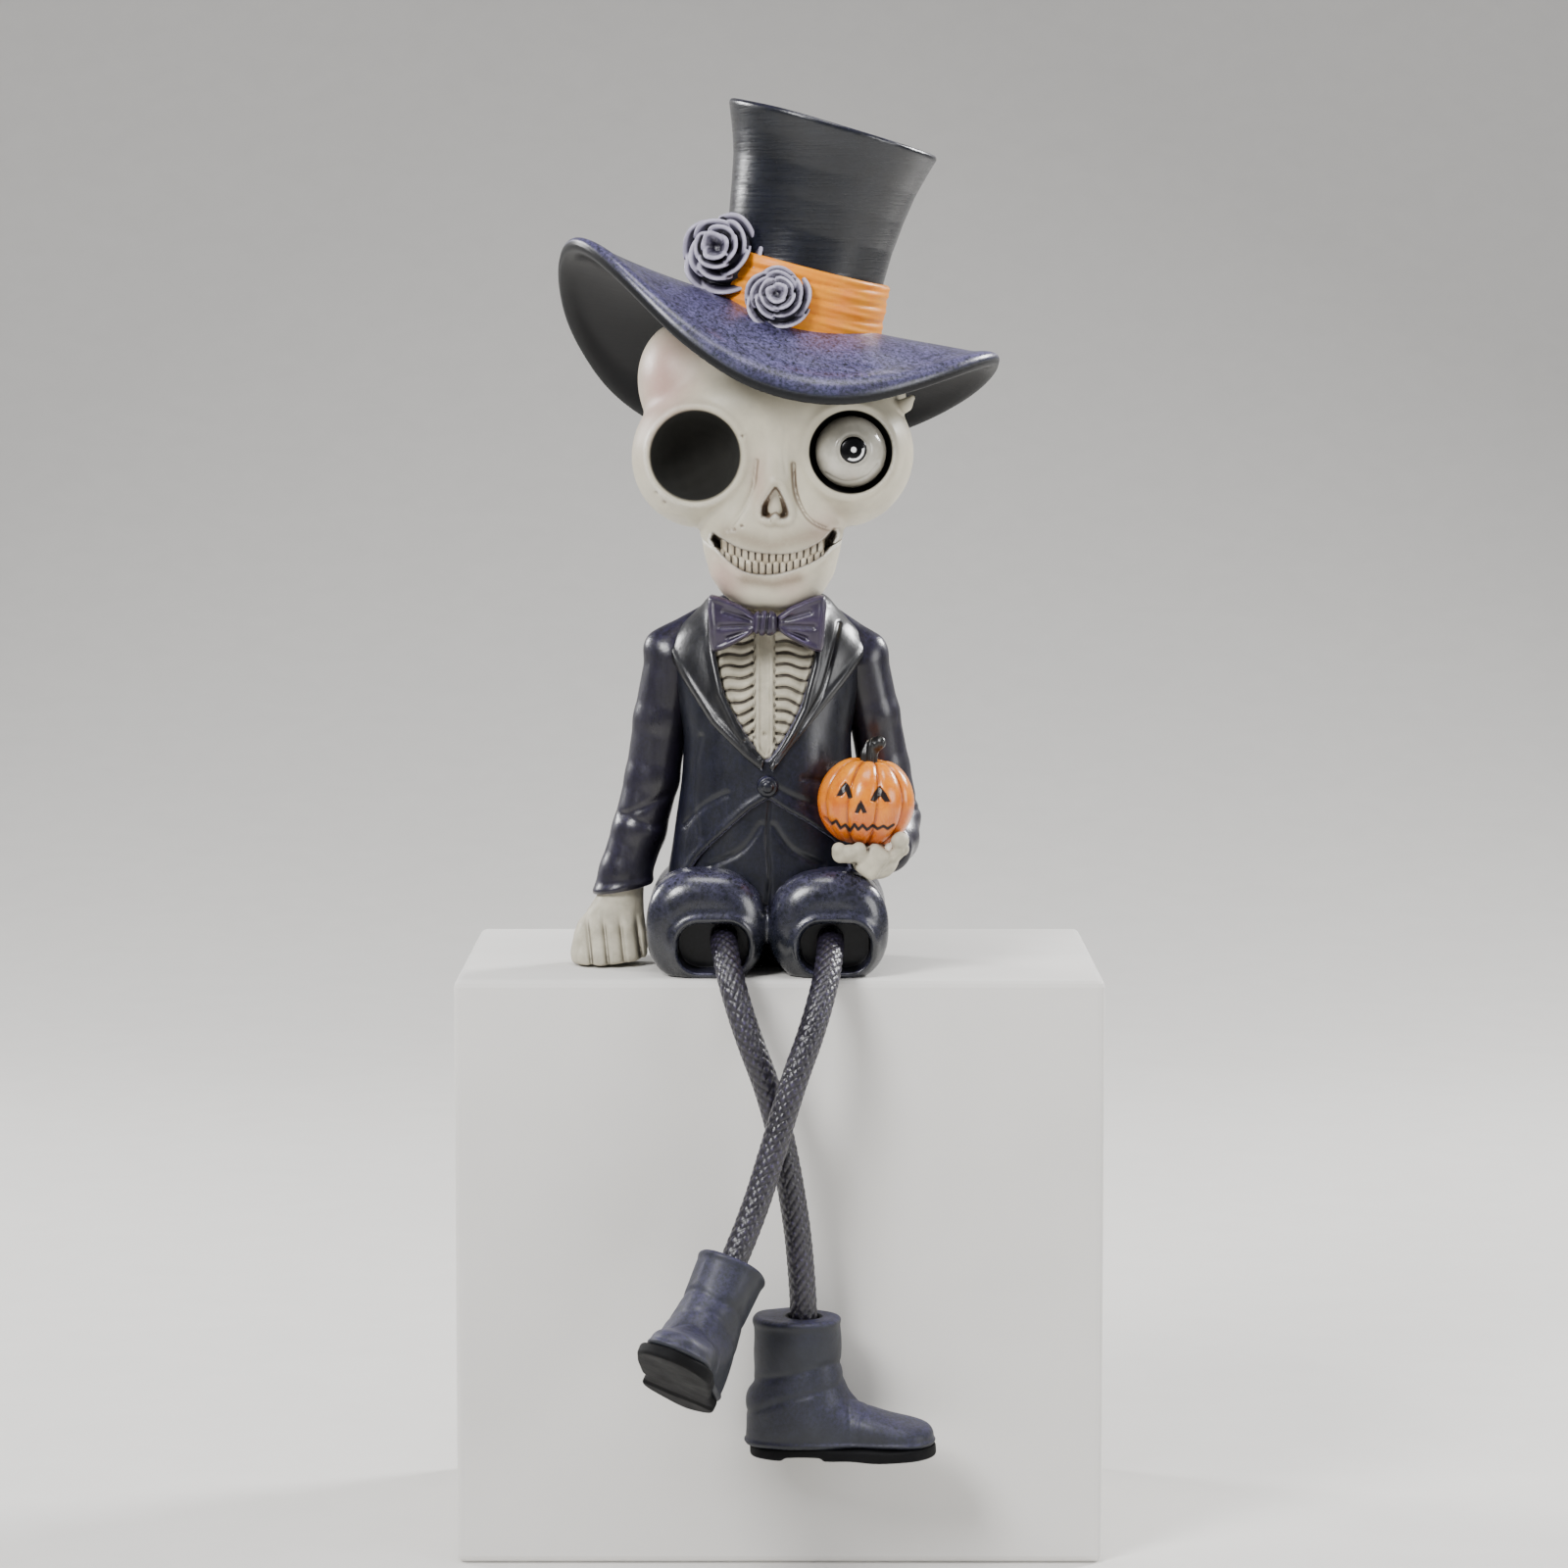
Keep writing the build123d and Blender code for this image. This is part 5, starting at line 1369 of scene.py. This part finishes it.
class FIGURE_OT_coat(FigureOperator, bpy.types.Operator):
    """Casts the tail coat, the waistcoat, the lapels and the button"""
    bl_idname = "figure.coat"
    bl_label = "Coat"

    def execute(self, context):
        box = ((-21, -17, 3), (21, 15, 63))
        for name, form, low, high, grain in (
                ("jacket", jacket_form, *box, 0.32),
                ("waistcoat", waistcoat_form, (-17, -16, 1), (17, 0, 31), 0.28),
                ("jacket_button", button_form, (-3, -16, 27), (3, -10, 34), 0.12)):
            cast(name, form, low, high, grain, MATERIALS["coat"])
        left_crease = flow([(1.6, 34.4), (4.6, 38.3), (8.4, 44.6), (10.4, 51.0), (11.6, 56.0)], 5)
        right_crease = flow([(-1.4, 35.2), (-3.4, 37.6)], 3)
        for name, outline, crease, low, high in (
                ("left_lapel", LEFT_LAPEL, left_crease, (-2, -16, 30), (20, 4, 63)),
                ("right_lapel", RIGHT_LAPEL, right_crease, (-20, -16, 30), (2, 4, 63))):
            cast(name, lapel_form(outline, crease), low, high, 0.2, MATERIALS["lapel"],
                 edge=0.4)
        return {"FINISHED"}


class FIGURE_OT_ribs(FigureOperator, bpy.types.Operator):
    """Casts the ribcage and the neck"""
    bl_idname = "figure.ribs"
    bl_label = "Ribs and neck"

    def execute(self, context):
        cast("ribcage", ribcage_form, (-11, -15, 32), (11, 0, 64), 0.17, MATERIALS["dry_bone"],
             hollow=0.5, edge=0.3)
        cast("neck", neck_form, (-7, -7, 44), (8, 8, 74), 0.3, MATERIALS["dry_bone"])
        return {"FINISHED"}


class FIGURE_OT_sleeves(FigureOperator, bpy.types.Operator):
    """Casts the two sleeves"""
    bl_idname = "figure.sleeves"
    bl_label = "Sleeves"

    def execute(self, context):
        for name, form, low, high in (("right_sleeve", right_sleeve_form, (-31, -6, 5), (-8, 8, 58)),
                                      ("left_sleeve", left_sleeve_form, (8, -14, 13), (28, 9, 57))):
            cast(name, form, low, high, 0.26, MATERIALS["sleeve"])
        return {"FINISHED"}


class FIGURE_OT_hands(FigureOperator, bpy.types.Operator):
    """Casts the planted hand and the hand that holds the pumpkin"""
    bl_idname = "figure.hands"
    bl_label = "Hands"

    def execute(self, context):
        for name, form, low, high, grain in (
                ("right_hand", right_hand_form, (-35, -9, -2), (-17, 8, 17), 0.17),
                ("left_hand", left_hand_form, (7, -25, 12), (26, -5, 26), 0.16)):
            cast(name, form, low, high, grain, MATERIALS["dry_bone"], hollow=0.6, edge=0.35)
        return {"FINISHED"}


class FIGURE_OT_pumpkin(FigureOperator, bpy.types.Operator):
    """Casts the ribbed pumpkin with its drawn face, and its stem"""
    bl_idname = "figure.pumpkin"
    bl_label = "Pumpkin"

    def execute(self, context):
        cast("pumpkin", pumpkin_form, (6, -25, 18), (26, -4, 38), 0.15, MATERIALS["pumpkin"],
             masks={"black_paint_and_shade": drawn_face, "painted_shade": pumpkin_painted_shade})
        cast("pumpkin_stem", stem_form, (13, -18, 30), (21, -11, 40), 0.14, MATERIALS["stem"],
             edge=0.3)
        return {"FINISHED"}


class FIGURE_OT_head(FigureOperator, bpy.types.Operator):
    """Casts the skull, the jaw and the two rows of teeth"""
    bl_idname = "figure.head"
    bl_label = "Skull, jaw and teeth"

    def execute(self, context):
        def black_paint_and_shade(p):
            socket = ease(-(from_axis(p, SOCKET_AT) - 7.25), -0.15, 0.2) * ease(p[:, 1], -17.2, -16.4)
            groove = ease(-(from_axis(p, EYE_AT) - 6.65), -0.1, 0.1) * ease(-p[:, 1], 8.0, 9.0)
            socket = np.maximum(socket, ease(-(from_axis(p, SOCKET_AT) - 7.0), -0.2, 0.2))
            mouth = 0.85 * mouth_recess(p)
            return np.maximum(np.maximum(socket, groove) * ease(-p[:, 1], 2.0, 4.0), mouth)

        def blush_and_reflection(p):
            # Painted reflection: rosy light on the temple; rosy tints on the nose and cheek.
            temple = 0.95 * ridge(length((p - np.array((-17.0, -9.0, 95.0))) * (1, 0.7, 0.6)), 5.5)
            nose = 0.5 * ridge(length((p - np.array((-0.8, -15.0, 79.5))) * (1.2, 1, 0.45)), 2.0)
            cheek = 0.4 * ridge(length(p - np.array((9.0, -13.0, 71.8))), 3.0)
            return temple + nose + cheek

        def painted_shade(p):
            # Painted shade between the eye lobes and the muzzle, above the mouth.
            front = ease(-p[:, 1], 8.0, 11.0)
            smile = from_line(p[:, 0], p[:, 2], [(-6.5, 71.0), (0.5, 69.0), (8.5, 71.0)])
            return front * 0.75 * ridge(smile, 1.5)

        cast("skull", skull_form, (-25, -20, 61), (27, 25, 113), 0.3, MATERIALS["bone"],
             hollow=1.0, edge=0.6, masks={"black_paint_and_shade": black_paint_and_shade, "blush_and_reflection": blush_and_reflection, "painted_shade": painted_shade})

        def chin_rosy_tint(p):
            return (0.8 * ridge(length(p - np.array((-6.5, -11.5, 64.0))), 3.6)
                    + 0.35 * ridge(length(p - np.array((4.0, -14.0, 62.4))), 2.5))

        # Painted shade under the lower teeth, along the chin.
        def jaw_painted_shade(p):
            return 0.9 * ridge(from_line(p[:, 0], p[:, 2], [(-3.5, 63.6), (1.0, 62.9), (5.0, 63.8)]), 1.0)

        cast("jaw", jaw_form, (-14, -18, 56), (16, 7, 75), 0.25, MATERIALS["bone"],
             hollow=1.0, edge=0.6, masks={"black_paint_and_shade": lambda p: 0.85 * mouth_recess(p),
                                          "blush_and_reflection": chin_rosy_tint, "painted_shade": jaw_painted_shade})
        # The teeth are given painted shade at their roots, away from the bite.
        for name, upper in (("upper_teeth", True), ("lower_teeth", False)):
            cast(name, teeth_form(upper), (-10, -17, 61), (12, -4, 74), 0.14, MATERIALS["teeth"],
                 hollow=0.35, edge=0.25,
                 masks={"painted_shade": lambda p: 0.8 * ease(np.abs(p[:, 2] - bite_line(p[:, 0])), 0.8, 2.2)})
        return {"FINISHED"}


class FIGURE_OT_eye(FigureOperator, bpy.types.Operator):
    """Casts the eyeball and its enamel pupil"""
    bl_idname = "figure.eye"
    bl_label = "Eye"

    def execute(self, context):
        def painted_shade(p):
            # Painted shade towards the eyeball's rim, where it sits in its groove.
            return 0.75 * ease(from_axis(p, EYE_AT), 4.2, 5.8)
        cast("eyeball", eyeball_form, (6, -19, 77), (21, -5, 91), 0.16, MATERIALS["eye"], hollow=0.4,
             masks={"painted_shade": painted_shade})
        cast("pupil", pupil_form, (10, -20, 80), (18, -13, 88), 0.09, MATERIALS["pupil"],
             masks={"dot_and_glint": pupil_dot_and_glint})
        return {"FINISHED"}


class FIGURE_OT_bow(FigureOperator, bpy.types.Operator):
    """Casts the bow tie's two wings and its knot"""
    bl_idname = "figure.bow"
    bl_label = "Bow tie"

    def execute(self, context):
        for name, form, low, high, grain, edge in (
                ("bow_right_wing", bow_wing_form(-1), (-12, -17, 49), (1, -7, 64), 0.16, 0.35),
                ("bow_left_wing", bow_wing_form(1), (-1, -17, 49), (12, -7, 64), 0.16, 0.35),
                ("bow_knot", bow_knot_form, (-4, -17, 53), (4, -10, 60), 0.13, 0.3)):
            cast(name, form, low, high, grain, MATERIALS["bow"], edge=edge)
        return {"FINISHED"}


class FIGURE_OT_hat(FigureOperator, bpy.types.Operator):
    """Casts the brim, the crown and the ribbon band"""
    bl_idname = "figure.hat"
    bl_label = "Hat"

    def execute(self, context):
        cast("hat_brim", brim_form, (-42, -32, 78), (42, 34, 120), 0.34, MATERIALS["brim"], hollow=1.2,
             masks={"black_paint_and_shade": under_brim})
        cast("hat_crown", crown_form, (-16, -24, 92), (36, 24, 144), 0.34, MATERIALS["crown"],
             hollow=1.2)
        cast("hat_band", band_form, (-16, -20, 92), (30, 20, 120), 0.24, MATERIALS["band"],
             hollow=0.6, edge=0.35)
        return {"FINISHED"}


class FIGURE_OT_roses(FigureOperator, bpy.types.Operator):
    """Casts the two roses on the band"""
    bl_idname = "figure.roses"
    bl_label = "Roses"

    def execute(self, context):
        for name, place, heading, radius in (("large_rose", (-15.8, -9.8, 8.0), (-0.35, -0.92, 0.2), 7.0),
                                             ("small_rose", (-5.4, -15.8, 3.0), (-0.1, -0.97, 0.22), 5.4)):
            centre, form, rim = rose_form(place, heading, radius)
            cast(name, form, centre - radius * 1.35, centre + radius * 1.35, 0.15, MATERIALS["rose"],
                 hollow=0.6, edge=0.3, masks={"rim": rim})
        return {"FINISHED"}


class FIGURE_OT_boots(FigureOperator, bpy.types.Operator):
    """Casts the two ankle boots and their soles"""
    bl_idname = "figure.boots"
    bl_label = "Boots"

    def execute(self, context):
        for side, seed in (("right", 101), ("left", 103)):
            origin, axes = boot_frame(side)
            corners = [(x, y, z) for x in (-12.5, 24) for y in (-8, 8) for z in (-25, 2.5)]
            corners = np.array(corners) @ axes + origin
            low, high = corners.min(0), corners.max(0)
            cast(side + "_boot", boot_form(side, seed), low, high, 0.24, MATERIALS["boot"],
                 body=side + "_boot", masks={"black_paint_and_shade": boot_well(side)})
            cast(side + "_boot_sole", sole_form(side, seed + 5), low, high, 0.24, MATERIALS["sole"],
                 body=side + "_boot")
        return {"FINISHED"}


PIECE_OPERATORS = (
    FIGURE_OT_stage, FIGURE_OT_legs, FIGURE_OT_trousers, FIGURE_OT_coat, FIGURE_OT_ribs, FIGURE_OT_sleeves,
    FIGURE_OT_hands, FIGURE_OT_pumpkin, FIGURE_OT_head, FIGURE_OT_eye, FIGURE_OT_bow, FIGURE_OT_hat,
    FIGURE_OT_roses, FIGURE_OT_boots,
)


class FIGURE_PT_sidebar(bpy.types.Panel):
    bl_label = "Shelf sitter figure"
    bl_idname = "FIGURE_PT_sidebar"
    bl_space_type = "VIEW_3D"
    bl_region_type = "UI"
    bl_category = "Figure"

    def draw(self, context):
        for operator in PIECE_OPERATORS:
            self.layout.operator(operator.bl_idname)
        for settings in (context.scene.figure_sizes, context.scene.figure_paints):
            for name in settings.bl_rna.properties.keys():
                if name not in ("rna_type", "name"):
                    self.layout.prop(settings, name)


CLASSES = (FigureSizes, FigurePaints, *PIECE_OPERATORS, FIGURE_PT_sidebar)


def register():
    for cls in CLASSES:
        bpy.utils.register_class(cls)
    bpy.types.Scene.figure_sizes = bpy.props.PointerProperty(type=FigureSizes)
    bpy.types.Scene.figure_paints = bpy.props.PointerProperty(type=FigurePaints)


def unregister():
    del bpy.types.Scene.figure_paints
    del bpy.types.Scene.figure_sizes
    for cls in reversed(CLASSES):
        bpy.utils.unregister_class(cls)


def main():
    register()
    make_materials()
    for operator in PIECE_OPERATORS:
        group, name = operator.bl_idname.split(".")
        getattr(getattr(bpy.ops, group), name)()


if __name__ == "__main__":
    main()
